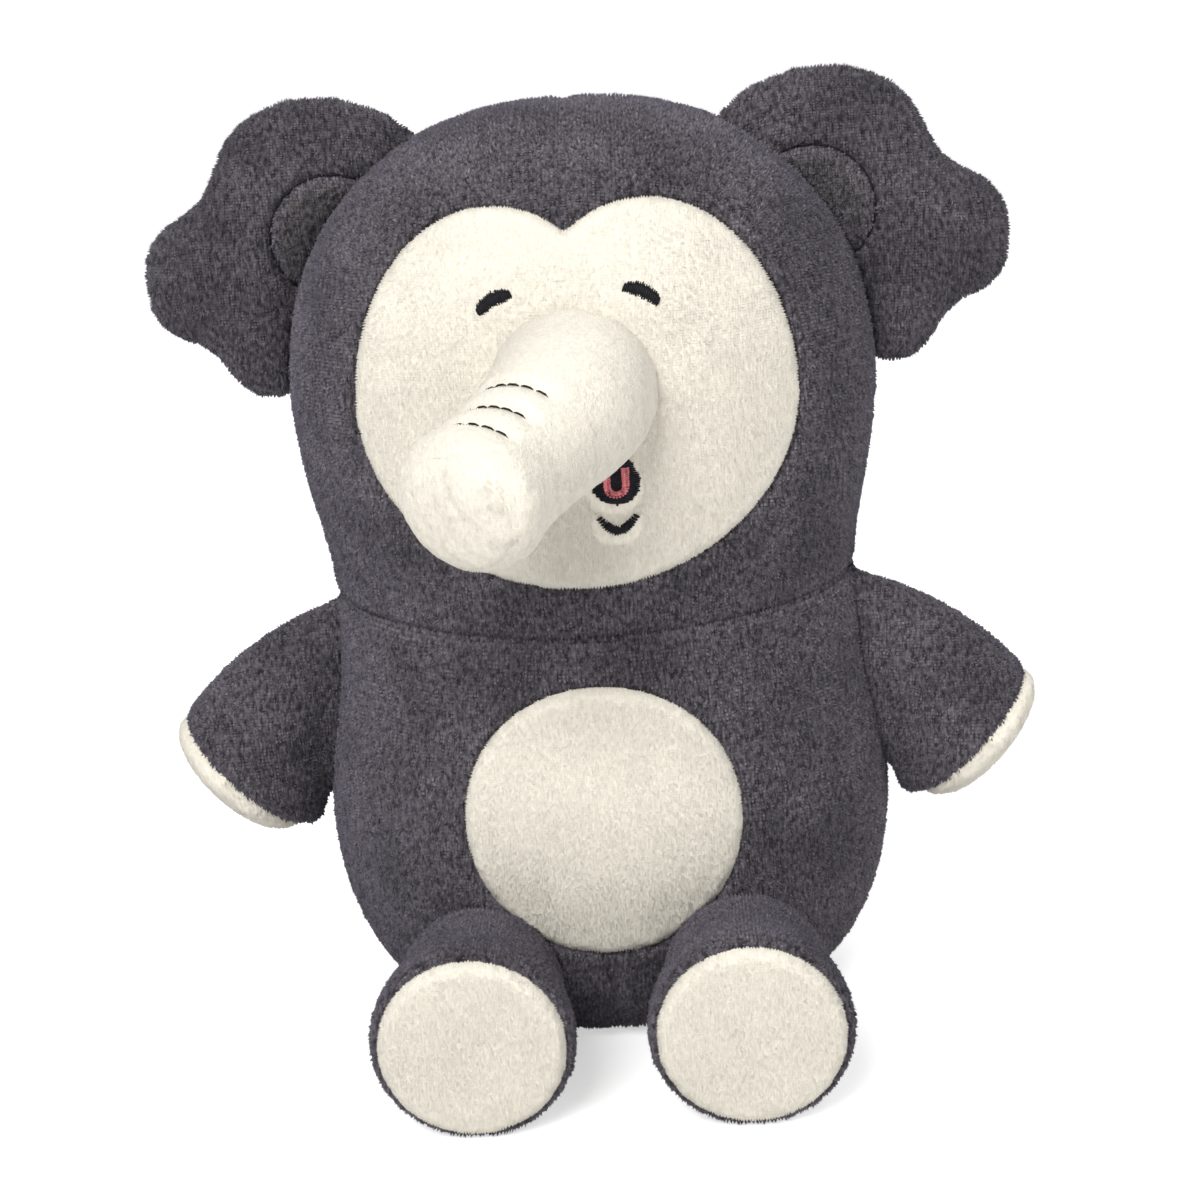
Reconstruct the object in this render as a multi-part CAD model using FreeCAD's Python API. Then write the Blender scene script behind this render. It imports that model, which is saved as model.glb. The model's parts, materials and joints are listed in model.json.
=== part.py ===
import FreeCAD, Part
import math
import os

# A stuffed elephant that sits with its legs straight out in front.
# Millimetres. +Z is up and the elephant faces -Y, so its own left side is +X.
# The origin is the centre of the flat seat that it rests on.

Vector = FreeCAD.Vector
PARTS = "parts"

# ---- driving dimensions -------------------------------------------------------------------
FABRIC = 2.0              # thickness of the short-pile plush, backing and pile together
FILL_CLEARANCE = 0.2      # between the inside of a cover and the filling
THREAD = 0.6              # how far embroidery stands proud of the pile
THREAD_SEAT = 0.05        # the air left under embroidery

SEAT_RADIUS = 36.0
BODY_HALF_WIDTH = 63.0
BODY_WIDEST_HEIGHT = 45.0
NECK_HALF_WIDTH = 57.0
NECK_HEIGHT = 93.5
HEAD_HALF_WIDTH = 63.0
HEAD_WIDEST_HEIGHT = 138.5
HEAD_TOP = 200.0
BODY_HALF_DEPTH = 49.0
SIDE_SEAM_Y = -4.0        # the plane that parts the body's front panel from its back panels

FACE_HALF_WIDTH = 45.4
FACE_BOTTOM = 105.6
FACE_LOBE_TOP = 183.0
FACE_LOBE_X = 15.0
FACE_NOTCH_DEPTH = 5.6
FACE_WIDEST_HEIGHT = 143.0

BELLY_PATCH_RADIUS = 29.3
BELLY_PATCH_HEIGHT = 55.0

EYE_X = 14.2
EYE_HEIGHT = 164.6
EYE_LENGTH = 8.4
EYE_THICKNESS = 3.2
EYE_SLANT = 28.0          # degrees, outer end lower

MOUTH_X = 7.2
MOUTH_HEIGHT = 128.0
MOUTH_WIDTH = 9.4
MOUTH_LENGTH = 10.6
TONGUE_WIDTH = 5.4
TONGUE_LENGTH = 6.4
TONGUE_LINE = 0.9         # black thread inside the tongue's outline
SMILE_DROP = 8.2          # from the mouth's centre down to the smile line
SMILE_WIDTH = 8.2
SMILE_LINE = 1.7

TRUNK_HEIGHT = 147.0
TRUNK_ROOT_RADIUS = 15.0  # a ball, which the stuffed face gives way to
TRUNK_SINK = 6.0          # how far the ball is let into the face
TRUNK_WAIST_RADIUS = 13.2
TRUNK_TIP_RADIUS = 14.0
TRUNK_LENGTH = 46.0       # from its pivot to the middle of the end disc
TRUNK_YAW = 28.0          # degrees that it points to the elephant's right
TRUNK_DROOP = 14.5        # degrees below level
TIP_ROUNDING = 4.0
CREASE_POSITIONS = (18.0, 25.5, 32.5)   # stitched creases, from the pivot along the trunk
CREASE_STITCH = 4.4
CREASE_PITCH = 6.0
CREASE_STITCHES = 4
STITCH_WIDTH = 1.2

EAR_ROOT_LOW = 1.0        # degrees above level on the domed head
EAR_ROOT_HIGH = 61.5
EAR_ROOT_GAP = 1.5
EAR_HALF_THICKNESS = 5.4
EAR_EDGE = 0.6            # half thickness of the sewn edge
EAR_Y = 2.0
# The ear grows with its root: places on it are (along, out) from the middle of the straight
# line between the root's ends, in shares of that line's length.
EAR_RIM = (
    (0.496, 0.247),
    (0.381, 0.462),
    (0.179, 0.568),
    (-0.052, 0.561),
    (-0.225, 0.638),
    (-0.393, 0.596),
    (-0.496, 0.462),
    (-0.488, 0.301),
    (-0.548, 0.154),
)
EAR_CENTRE = (-0.142, 0.325)
EAR_REACH = 0.41          # from that centre to the nearest stretch of rim
EAR_PATCH_CENTRE = (0.07, 0.103)
EAR_PATCH_REACH = 0.211
EAR_STITCH_START = 4.0    # how far from the head the ear's stitching starts

ARM_ROOT_TOP = 95.0
ARM_ROOT_BOTTOM = 48.0
ARM_ROOT_GAP = 1.3
ARM_EDGE = 0.8            # half thickness of the sewn root
ARM_LENGTH = 27.5         # from the root to the pad's seam
ARM_SLOPE = 36.0          # degrees below level
ARM_END_TILT = 42.0       # degrees between the pad's plane and the vertical
ARM_END_HALF_HEIGHT = 17.3
ARM_END_HALF_DEPTH = 14.5
ARM_SWELL = 0.2           # how much its edges bow outwards half way along
ARM_FULLNESS = 1.3        # how fast it thickens from the root
ARM_SOLID_ROOT = 0.22     # the share of its length that holds no filling
ARM_Y = -5.0
HAND_PAD_BULGE = 5.0

LEG_X = 28.0
LEG_ROOT_RADIUS = 17.0    # a ball, which the stuffed body gives way to
LEG_SINK = 6.0            # how far the ball is let into the body
LEG_END_RADIUS = 20.5
LEG_FLOOR_GAP = 0.2
SOLE_RADIUS = 19.2
SOLE_Y = -77.0
SOLE_BULGE = 1.5
JOINT_CLEARANCE = 0.8     # between the ball at a limb's root and its hollow in the body

CLOSING_LENGTH = 40.0     # hand-closed opening in the centre back seam
CLOSING_HEIGHT = 42.0
CLOSING_STITCHES = 8
CLOSING_STITCH = 4.5

# ---- small geometry helpers ---------------------------------------------------------------
BIG = 400.0
ROUND = 0.5522847         # a cubic curve with this pull follows a quarter ellipse
DEPTH_RATIO = BODY_HALF_DEPTH / BODY_HALF_WIDTH


def curve(*poles):
    """An edge along one Bezier curve."""
    bezier = Part.BezierCurve()
    bezier.setPoles(list(poles))
    return bezier.toShape()


def quarter(start, corner, end):
    """A quarter ellipse from start to end, bulging towards corner."""
    return curve(start, start + (corner - start) * ROUND, end + (corner - end) * ROUND, end)


def eased(start, end):
    """A smooth step between two (radius, height) points, with upright ends."""
    third = Vector(0, 0, (end.z - start.z) / 3)
    return curve(start, start + third, end - third, end)


def turned(stations, bottom, top, bottom_flat=0.0, top_flat=0.0):
    """A form turned about Z through (radius, height) stations, with rounded or flat ends."""
    points = [Vector(radius, 0, height) for radius, height in stations]
    first = points[0]
    last = points[-1]
    edges = []
    if bottom_flat > 0:
        edges.append(Part.makeLine(Vector(0, 0, bottom), Vector(bottom_flat, 0, bottom)))
    edges.append(quarter(Vector(bottom_flat, 0, bottom), Vector(first.x, 0, bottom), first))
    for start, end in zip(points, points[1:]):
        edges.append(eased(start, end))
    edges.append(quarter(last, Vector(last.x, 0, top), Vector(top_flat, 0, top)))
    if top_flat > 0:
        edges.append(Part.makeLine(Vector(top_flat, 0, top), Vector(0, 0, top)))
    edges.append(Part.makeLine(Vector(0, 0, top), Vector(0, 0, bottom)))
    face = Part.Face(Part.Wire(edges))
    return face.revolve(Vector(0, 0, 0), Vector(0, 0, 1), 360)


def slab(low, high):
    """A box between two corners."""
    size = high - low
    return Part.makeBox(size.x, size.y, size.z, low)


def front_prism(wire, depth_from=-BIG, depth_to=0.0):
    """An outline drawn in the XZ plane, carried along Y."""
    placed = wire.translated(Vector(0, depth_from, 0))
    return Part.Face(placed).extrude(Vector(0, depth_to - depth_from, 0))


def bar_outline(centre_x, centre_z, length, width, degrees):
    """A thin rectangle in the XZ plane, for one stitch."""
    half_length = length / 2
    half_height = width / 2
    corners = [
        Vector(-half_length, 0, -half_height),
        Vector(half_length, 0, -half_height),
        Vector(half_length, 0, half_height),
        Vector(-half_length, 0, half_height),
    ]
    wire = Part.makePolygon(corners + corners[:1])
    wire.rotate(Vector(0, 0, 0), Vector(0, 1, 0), -degrees)
    return wire.translated(Vector(centre_x, 0, centre_z))


def mirrored(shape):
    """The same piece on the elephant's right side."""
    return shape.mirror(Vector(0, 0, 0), Vector(1, 0, 0))


def export(shape, node):
    """Write one piece, as a plain solid or a group of solids."""
    solids = shape.Solids
    piece = solids[0] if len(solids) == 1 else Part.makeCompound(solids)
    piece.exportStep(os.path.join(PARTS, node + ".step"))


# ---- head and body ------------------------------------------------------------------------
def half_width(z):
    """Half the width of head and body at a height."""
    if z >= HEAD_WIDEST_HEIGHT:
        share = min(1.0, (z - HEAD_WIDEST_HEIGHT) / (HEAD_TOP - HEAD_WIDEST_HEIGHT))
        return HEAD_HALF_WIDTH * math.sqrt(1 - share * share)
    if z >= BODY_WIDEST_HEIGHT:
        if z >= NECK_HEIGHT:
            low, high = NECK_HEIGHT, HEAD_WIDEST_HEIGHT
            start, end = NECK_HALF_WIDTH, HEAD_HALF_WIDTH
        else:
            low, high = BODY_WIDEST_HEIGHT, NECK_HEIGHT
            start, end = BODY_HALF_WIDTH, NECK_HALF_WIDTH
        t = (z - low) / (high - low)
        return start + (end - start) * (3 * t * t - 2 * t ** 3)
    share = min(1.0, (BODY_WIDEST_HEIGHT - z) / BODY_WIDEST_HEIGHT)
    return SEAT_RADIUS + (BODY_HALF_WIDTH - SEAT_RADIUS) * math.sqrt(1 - share * share)


def front_y(x, z):
    """Where the front of head and body lies, or the middle plane beyond its side."""
    half = half_width(z)
    return -DEPTH_RATIO * math.sqrt(max(0.0, half * half - x * x))


def sunk_ball(x, z, radius, sink):
    """The centre of a ball at (x, z) that is let into the front by sink."""
    return Vector(x, front_y(x, z) - radius + sink, z)


def trunk_pivot():
    """The point that the trunk swings about."""
    return sunk_ball(0, TRUNK_HEIGHT, TRUNK_ROOT_RADIUS, TRUNK_SINK)


def leg_pivot():
    """The left hip."""
    return sunk_ball(LEG_X, LEG_END_RADIUS + LEG_FLOOR_GAP, LEG_ROOT_RADIUS, LEG_SINK)


def limb_hollows(inset):
    """The round hollows in face and body that the limbs' balls turn in."""
    margin = JOINT_CLEARANCE + inset
    trunk = Part.makeSphere(TRUNK_ROOT_RADIUS + margin, trunk_pivot())
    leg = Part.makeSphere(LEG_ROOT_RADIUS + margin, leg_pivot())
    return [trunk, leg, mirrored(leg)]


def torso_form(inset):
    """Head and body as one stuffed form, moved inwards by inset, with a flat seat."""
    stations = [
        (BODY_HALF_WIDTH - inset, BODY_WIDEST_HEIGHT),
        (NECK_HALF_WIDTH - inset, NECK_HEIGHT),
        (HEAD_HALF_WIDTH - inset, HEAD_WIDEST_HEIGHT),
    ]
    bottom = min(inset, 0.0) - 0.5
    form = turned(stations, bottom, HEAD_TOP - inset, SEAT_RADIUS - inset)
    squash = FreeCAD.Matrix()
    squash.A22 = (BODY_HALF_DEPTH - inset) / (BODY_HALF_WIDTH - inset)
    form = form.transformGeometry(squash)
    floor = slab(Vector(-BIG, -BIG, -BIG), Vector(BIG, BIG, max(inset, 0.0)))
    return form.cut([floor] + limb_hollows(inset))


def face_outline():
    """A round face patch whose top edge has two lobes and a notch over the brow."""
    notch = Vector(0, 0, FACE_LOBE_TOP - FACE_NOTCH_DEPTH)
    lobe = Vector(FACE_LOBE_X, 0, FACE_LOBE_TOP)
    side = Vector(FACE_HALF_WIDTH, 0, FACE_WIDEST_HEIGHT)
    chin = Vector(0, 0, FACE_BOTTOM)
    rise = curve(notch, notch + Vector(4.0, 0, 3.4), lobe - Vector(6.0, 0, 0), lobe)
    brow = quarter(lobe, Vector(side.x, 0, lobe.z), side)
    jaw = quarter(side, Vector(side.x, 0, chin.z), chin)
    half = [rise, brow, jaw]
    other = [mirrored(edge) for edge in half]
    return Part.Wire(Part.__sortEdges__(half + other))


def circle_outline(radius, x, z):
    """A circle in the XZ plane."""
    return Part.Wire(Part.makeCircle(radius, Vector(x, 0, z), Vector(0, 1, 0)))


def eye_outline():
    """A slanted bar with blunt ends, a level lower edge and an arched upper edge."""
    half = EYE_LENGTH / 2
    end = EYE_THICKNESS * 0.5
    lift = EYE_THICKNESS * 1.17
    inner = Vector(-half, 0, 0)
    outer = Vector(half, 0, 0)
    inner_top = Vector(-half, 0, end)
    outer_top = Vector(half, 0, end)
    edges = [
        Part.makeLine(inner, outer),
        Part.makeLine(outer, outer_top),
        curve(outer_top, Vector(half * 0.6, 0, lift), Vector(-half * 0.6, 0, lift), inner_top),
        Part.makeLine(inner_top, inner),
    ]
    wire = Part.Wire(edges)
    wire.rotate(Vector(0, 0, 0), Vector(0, 1, 0), EYE_SLANT)
    return wire.translated(Vector(EYE_X, 0, EYE_HEIGHT - EYE_THICKNESS * 0.5))


def drop_outline(x, top_z, width, length):
    """A drop with a narrow top and a round bottom, in the XZ plane."""
    half = width / 2
    top = Vector(x, 0, top_z)
    bottom = Vector(x, 0, top_z - length)
    middle_z = top_z - length * 0.6
    right = Vector(x + half, 0, middle_z)
    left = Vector(x - half, 0, middle_z)
    edges = [
        curve(top, top + Vector(half * 0.7, 0, 0), right + Vector(0, 0, length * 0.32), right),
        quarter(right, Vector(right.x, 0, bottom.z), bottom),
        quarter(bottom, Vector(left.x, 0, bottom.z), left),
        curve(left, left + Vector(0, 0, length * 0.32), top - Vector(half * 0.7, 0, 0), top),
    ]
    return Part.Wire(edges)


def smile_outline():
    """A short upturned line of satin stitch under the mouth."""
    half = SMILE_WIDTH / 2
    thick = SMILE_LINE / 2
    z = MOUTH_HEIGHT - SMILE_DROP
    sag = SMILE_WIDTH * 0.36
    upper = Part.Arc(
        Vector(MOUTH_X + half, 0, z + thick),
        Vector(MOUTH_X, 0, z + thick - sag),
        Vector(MOUTH_X - half, 0, z + thick),
    ).toShape()
    lower = Part.Arc(
        Vector(MOUTH_X - half, 0, z - thick),
        Vector(MOUTH_X, 0, z - thick - sag),
        Vector(MOUTH_X + half, 0, z - thick),
    ).toShape()
    left = Part.makeLine(Vector(MOUTH_X - half, 0, z + thick), Vector(MOUTH_X - half, 0, z - thick))
    right = Part.makeLine(Vector(MOUTH_X + half, 0, z - thick), Vector(MOUTH_X + half, 0, z + thick))
    return Part.Wire([upper, left, lower, right])


def build_head_and_body():
    """The covers, patches, embroidery and filling of head and body."""
    outer = torso_form(0.0)
    shell = outer.cut(torso_form(FABRIC))
    head_space = slab(Vector(-BIG, -BIG, NECK_HEIGHT), Vector(BIG, BIG, BIG))
    left_space = slab(Vector(0, -BIG, -BIG), Vector(BIG, BIG, BIG))
    front_space = slab(Vector(-BIG, -BIG, -BIG), Vector(BIG, SIDE_SEAM_Y, BIG))

    face_prism = front_prism(face_outline())
    belly_prism = front_prism(circle_outline(BELLY_PATCH_RADIUS, 0, BELLY_PATCH_HEIGHT))
    export(shell.common(face_prism), "face_patch")
    export(shell.common(belly_prism), "belly_patch")

    head = shell.common(head_space).cut(face_prism)
    export(head.common(left_space), "head_left_panel")
    export(head.cut(left_space), "head_right_panel")

    body = shell.cut(head_space).cut(belly_prism)
    export(body.common(front_space), "body_front_panel")
    back = body.cut(front_space)
    export(back.common(left_space), "body_back_left_panel")
    export(back.cut(left_space), "body_back_right_panel")
    export(torso_form(FABRIC + FILL_CLEARANCE), "torso_filling")

    thread = torso_form(-THREAD).cut(torso_form(-THREAD_SEAT))
    left_eye = thread.common(front_prism(eye_outline()))
    export(left_eye, "left_eye")
    export(mirrored(left_eye), "right_eye")

    mouth_top = MOUTH_HEIGHT + MOUTH_LENGTH / 2
    tongue_top = MOUTH_HEIGHT + TONGUE_LENGTH * 0.35
    mouth_prism = front_prism(drop_outline(MOUTH_X, mouth_top, MOUTH_WIDTH, MOUTH_LENGTH))
    tongue_prism = front_prism(drop_outline(MOUTH_X, tongue_top, TONGUE_WIDTH, TONGUE_LENGTH))
    slot = front_prism(
        drop_outline(
            MOUTH_X,
            tongue_top + TONGUE_LINE,
            TONGUE_WIDTH - 3 * TONGUE_LINE,
            TONGUE_LENGTH - 2 * TONGUE_LINE,
        )
    )
    tongue_prism = tongue_prism.cut(slot)
    export(thread.common(mouth_prism).cut(tongue_prism), "mouth")
    export(thread.common(tongue_prism), "tongue")
    export(thread.common(front_prism(smile_outline())), "smile_line")

    stitches = []
    for index in range(CLOSING_STITCHES):
        share = (index + 0.5) / CLOSING_STITCHES - 0.5
        height = CLOSING_HEIGHT + CLOSING_LENGTH * share
        bar = bar_outline(0, height, CLOSING_STITCH, STITCH_WIDTH, 25 if index % 2 else -25)
        stitches.append(thread.common(front_prism(bar, 0.0, BIG)))
    export(Part.makeCompound(stitches), "closing_stitches")


# ---- trunk --------------------------------------------------------------------------------
def trunk_form(inset):
    """The stuffed trunk about +Z from its pivot, moved inwards by inset."""
    length = TRUNK_LENGTH
    stations = [
        (TRUNK_ROOT_RADIUS - inset, 0.0),
        (TRUNK_WAIST_RADIUS - inset, length * 0.62),
        (TRUNK_TIP_RADIUS - inset, length - TIP_ROUNDING),
    ]
    bottom = inset - TRUNK_ROOT_RADIUS
    return turned(stations, bottom, length - inset, 0.0, TRUNK_TIP_RADIUS - TIP_ROUNDING)


def along_trunk(shape):
    """Turn a shape built about +Z to lie along the trunk."""
    shape = shape.copy()
    shape.rotate(Vector(0, 0, 0), Vector(1, 0, 0), 90 + TRUNK_DROOP)
    shape.rotate(Vector(0, 0, 0), Vector(0, 0, 1), -TRUNK_YAW)
    return shape.translated(trunk_pivot())


def build_trunk():
    """Trunk cover, end disc, filling and the stitched creases across its top."""
    outer = trunk_form(0.0)
    shell = outer.cut(trunk_form(FABRIC))
    seam = TRUNK_LENGTH - TIP_ROUNDING / 2
    end_space = slab(Vector(-BIG, -BIG, seam), Vector(BIG, BIG, BIG))
    export(along_trunk(shell.cut(end_space)), "trunk_cover")
    export(along_trunk(shell.common(end_space)), "trunk_tip_disc")
    export(along_trunk(trunk_form(FABRIC + FILL_CLEARANCE)), "trunk_filling")

    thread = trunk_form(-THREAD).cut(trunk_form(-THREAD_SEAT))
    stitches = []
    for position in CREASE_POSITIONS:
        for index in range(CREASE_STITCHES):
            centre = (index - (CREASE_STITCHES - 1) / 2) * CREASE_PITCH
            degrees = math.degrees(centre / TRUNK_WAIST_RADIUS)
            low = Vector(-CREASE_STITCH / 2, 0, position - STITCH_WIDTH / 2)
            high = Vector(CREASE_STITCH / 2, BIG, position + STITCH_WIDTH / 2)
            bar = slab(low, high)
            bar.rotate(Vector(0, 0, 0), Vector(0, 0, 1), degrees)
            stitches.append(thread.common(bar))
    export(along_trunk(Part.makeCompound(stitches)), "trunk_stitches")


# ---- ears ---------------------------------------------------------------------------------
def dome_point(degrees, gap):
    """A point in the middle plane, standing off the domed head by gap."""
    angle = math.radians(degrees)
    x = (HEAD_HALF_WIDTH + gap) * math.cos(angle)
    z = HEAD_WIDEST_HEIGHT + (HEAD_TOP - HEAD_WIDEST_HEIGHT + gap) * math.sin(angle)
    return Vector(x, 0, z)


def ear_chord():
    """The straight line from the lower to the upper end of the ear's root."""
    low = dome_point(EAR_ROOT_LOW, EAR_ROOT_GAP)
    return low, dome_point(EAR_ROOT_HIGH, EAR_ROOT_GAP)


def ear_place(share):
    """A place on the ear, from its shares along and out from the root's line."""
    low, high = ear_chord()
    chord = high - low
    outward = Vector(chord.z, 0, -chord.x)
    return (low + high) * 0.5 + chord * share[0] + outward * share[1]


def ear_size(share):
    """A length on the ear, from its share of the root's line."""
    low, high = ear_chord()
    return (high - low).Length * share


def ear_outline():
    """A rim with three round lobes and a root that follows the head."""
    steps = 6
    span = EAR_ROOT_HIGH - EAR_ROOT_LOW
    root = [dome_point(EAR_ROOT_LOW + span * i / steps, EAR_ROOT_GAP) for i in range(steps + 1)]
    root_curve = Part.BSplineCurve()
    root_curve.interpolate(root)
    rim = [ear_place(share) for share in EAR_RIM]
    rim_curve = Part.BSplineCurve()
    rim_curve.interpolate([root[-1]] + rim + [root[0]])
    return Part.Wire([root_curve.toShape(), rim_curve.toShape()])


def ear_form(inset):
    """A three-lobed pillow about the plane y = EAR_Y, moved inwards by inset."""
    outline = ear_outline()
    centre = ear_place(EAR_CENTRE)
    shrink = 1 - inset / ear_size(EAR_REACH)
    depth = EAR_HALF_THICKNESS - inset
    edge = EAR_EDGE - inset * 0.2
    levels = [(1.0, edge), (0.93, 0.36), (0.8, 0.7), (0.55, 1.0)]
    halves = []
    for side in (-1, 1):
        wires = []
        for scale, share in [(1.0, 0.0)] + levels:
            factor = scale * shrink
            y = share if scale == 1.0 else max(share * depth, edge * 1.05)
            stretch = FreeCAD.Matrix()
            stretch.A11 = factor
            stretch.A33 = factor
            stretch.A14 = centre.x * (1 - factor)
            stretch.A34 = centre.z * (1 - factor)
            stretch.A24 = EAR_Y + side * y
            wires.append(outline.transformGeometry(stretch))
        halves.append(Part.makeLoft(wires, True, True))
    return halves[0].fuse(halves[1])


def build_ears():
    """Front and back panels, inner patch, stitching and filling of both ears."""
    outer = ear_form(0.0)
    shell = outer.cut(ear_form(FABRIC * 0.8))
    front_space = slab(Vector(-BIG, -BIG, -BIG), Vector(BIG, EAR_Y, BIG))
    middle = ear_place(EAR_PATCH_CENTRE)
    radius = ear_size(EAR_PATCH_REACH)
    patch_prism = front_prism(circle_outline(radius, middle.x, middle.z), -BIG, EAR_Y)
    outer_ring = circle_outline(radius + STITCH_WIDTH / 2, middle.x, middle.z)
    inner_ring = circle_outline(radius - STITCH_WIDTH / 2, middle.x, middle.z)
    ring = front_prism(outer_ring, -BIG, EAR_Y).cut(front_prism(inner_ring, -BIG, EAR_Y))
    thread = ear_form(-THREAD).cut(ear_form(-THREAD_SEAT)).common(front_space)
    front = shell.common(front_space)
    pieces = {
        "ear_front_panel": front.cut(patch_prism),
        "ear_back_panel": shell.cut(front_space),
        "ear_inner_patch": front.common(patch_prism),
        "ear_stitching": thread.common(ring).cut(torso_form(-EAR_STITCH_START)),
        "ear_filling": ear_form(FABRIC * 0.8 + FILL_CLEARANCE),
    }
    for name, piece in pieces.items():
        export(piece, "left_" + name)
        export(mirrored(piece), "right_" + name)


# ---- arms ---------------------------------------------------------------------------------
def arm_root_points():
    """The bottom and top of the arm's sewn root, standing clear of the body's side."""
    low = half_width(ARM_ROOT_BOTTOM)
    high = half_width(ARM_ROOT_TOP)
    steps = 24
    bulge = 0.0
    for index in range(steps + 1):
        share = index / steps
        z = ARM_ROOT_BOTTOM + (ARM_ROOT_TOP - ARM_ROOT_BOTTOM) * share
        bulge = max(bulge, half_width(z) - low - (high - low) * share)
    shift = bulge + ARM_ROOT_GAP
    bottom = Vector(low + shift, ARM_Y, ARM_ROOT_BOTTOM)
    return bottom, Vector(high + shift, ARM_Y, ARM_ROOT_TOP)


def ellipse_section(centre, tilt, half_height, half_depth):
    """An ellipse in a plane that leans outwards by tilt degrees from the vertical."""
    lean = math.radians(tilt)
    place = FreeCAD.Matrix()
    place.A11 = half_height * math.sin(lean)
    place.A31 = half_height * math.cos(lean)
    place.A12 = 0.0
    place.A22 = half_depth
    place.A32 = 0.0
    place.A13 = math.cos(lean)
    place.A23 = 0.0
    place.A33 = -math.sin(lean)
    place.A14 = centre.x
    place.A24 = centre.y
    place.A34 = centre.z
    return Part.Wire(Part.makeCircle(1)).transformGeometry(place)


def arm_station(share):
    """Centre, tilt, half height and half depth of the arm at a share of its length."""
    bottom, top = arm_root_points()
    root_tilt = -math.degrees(math.atan2(bottom.x - top.x, top.z - bottom.z))
    root_half = (top - bottom).Length / 2
    slope = math.radians(ARM_SLOPE)
    reach = Vector(math.cos(slope), 0, -math.sin(slope)) * ARM_LENGTH
    centre = (bottom + top) * 0.5 + reach * share
    tilt = root_tilt + (ARM_END_TILT - root_tilt) * share
    half_height = root_half + (ARM_END_HALF_HEIGHT - root_half) * share
    half_height *= 1 + ARM_SWELL * share * (1 - share)
    fullness = 1 - (1 - share) ** ARM_FULLNESS
    half_depth = ARM_EDGE + (ARM_END_HALF_DEPTH - ARM_EDGE) * fullness
    return centre, tilt, half_height, half_depth


def arm_form(inset):
    """The left arm with its padded end, moved inwards by inset.

    The sewn root has no inside, so an inner form starts a little way along the arm.
    """
    first = ARM_SOLID_ROOT if inset > 0 else 0.0
    wires = []
    for share in (first, 0.45, 0.78, 1.0):
        centre, tilt, half_height, half_depth = arm_station(share)
        wires.append(ellipse_section(centre, tilt, half_height - inset, half_depth - inset))
    sleeve = Part.makeLoft(wires, True, False)
    stretch = FreeCAD.Matrix()
    stretch.A11 = half_height - inset
    stretch.A22 = half_depth - inset
    stretch.A33 = HAND_PAD_BULGE - inset
    dome = Part.makeSphere(1, Vector(0, 0, 0), Vector(0, 0, 1), 0, 90, 360)
    dome = dome.transformGeometry(stretch)
    dome.rotate(Vector(0, 0, 0), Vector(0, 1, 0), 90 + tilt)
    return sleeve.fuse(dome.translated(centre))


def build_arms():
    """Front and back panels, hand pad and filling of both arms."""
    shell = arm_form(0.0).cut(arm_form(FABRIC))
    centre, tilt, _, _ = arm_station(1.0)
    hand_space = slab(Vector(-BIG, -BIG, 0), Vector(BIG, BIG, BIG))
    hand_space.rotate(Vector(0, 0, 0), Vector(0, 1, 0), 90 + tilt)
    hand_space = hand_space.translated(centre)
    front_space = slab(Vector(-BIG, -BIG, -BIG), Vector(BIG, ARM_Y, BIG))
    sleeve = shell.cut(hand_space)
    pieces = {
        "arm_front_panel": sleeve.common(front_space),
        "arm_back_panel": sleeve.cut(front_space),
        "hand_pad": shell.common(hand_space),
        "arm_filling": arm_form(FABRIC + FILL_CLEARANCE),
    }
    for name, piece in pieces.items():
        export(piece, "left_" + name)
        export(mirrored(piece), "right_" + name)


# ---- legs ---------------------------------------------------------------------------------
def leg_form(inset):
    """The stuffed leg about +Z from the hip, moved inwards by inset."""
    length = leg_pivot().y - SOLE_Y
    rim = length - SOLE_BULGE
    stations = [
        (LEG_ROOT_RADIUS - inset, 0.0),
        (LEG_END_RADIUS - inset, rim - 1.0),
    ]
    bottom = inset - LEG_ROOT_RADIUS
    return turned(stations, bottom, length - inset, 0.0, SOLE_RADIUS - inset - 1.0)


def build_legs():
    """Leg cover, sole pad and filling of both legs."""
    shell = leg_form(0.0).cut(leg_form(FABRIC))
    seam = leg_pivot().y - SOLE_Y - FABRIC
    sole_space = Part.makeCylinder(SOLE_RADIUS, BIG, Vector(0, 0, seam - 1.0))
    pieces = {
        "leg_cover": shell.cut(sole_space),
        "sole_pad": shell.common(sole_space),
        "leg_filling": leg_form(FABRIC + FILL_CLEARANCE),
    }
    for name, piece in pieces.items():
        placed = piece.copy()
        placed.rotate(Vector(0, 0, 0), Vector(1, 0, 0), 90)
        placed = placed.translated(leg_pivot())
        export(placed, "left_" + name)
        export(mirrored(placed), "right_" + name)


os.makedirs(PARTS, exist_ok=True)
build_head_and_body()
build_trunk()
build_ears()
build_arms()
build_legs()
print("trunk pivot", trunk_pivot())
print("left hip", leg_pivot())
print("ear root", dome_point(EAR_ROOT_LOW, EAR_ROOT_GAP), dome_point(EAR_ROOT_HIGH, EAR_ROOT_GAP))
print("arm root", *arm_root_points())
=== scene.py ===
import json
import math
import random

import bmesh
import bpy
from mathutils import Matrix, Vector, noise
from mathutils.bvhtree import BVHTree
from mathutils.geometry import interpolate_bezier
from mathutils.kdtree import KDTree


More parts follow.
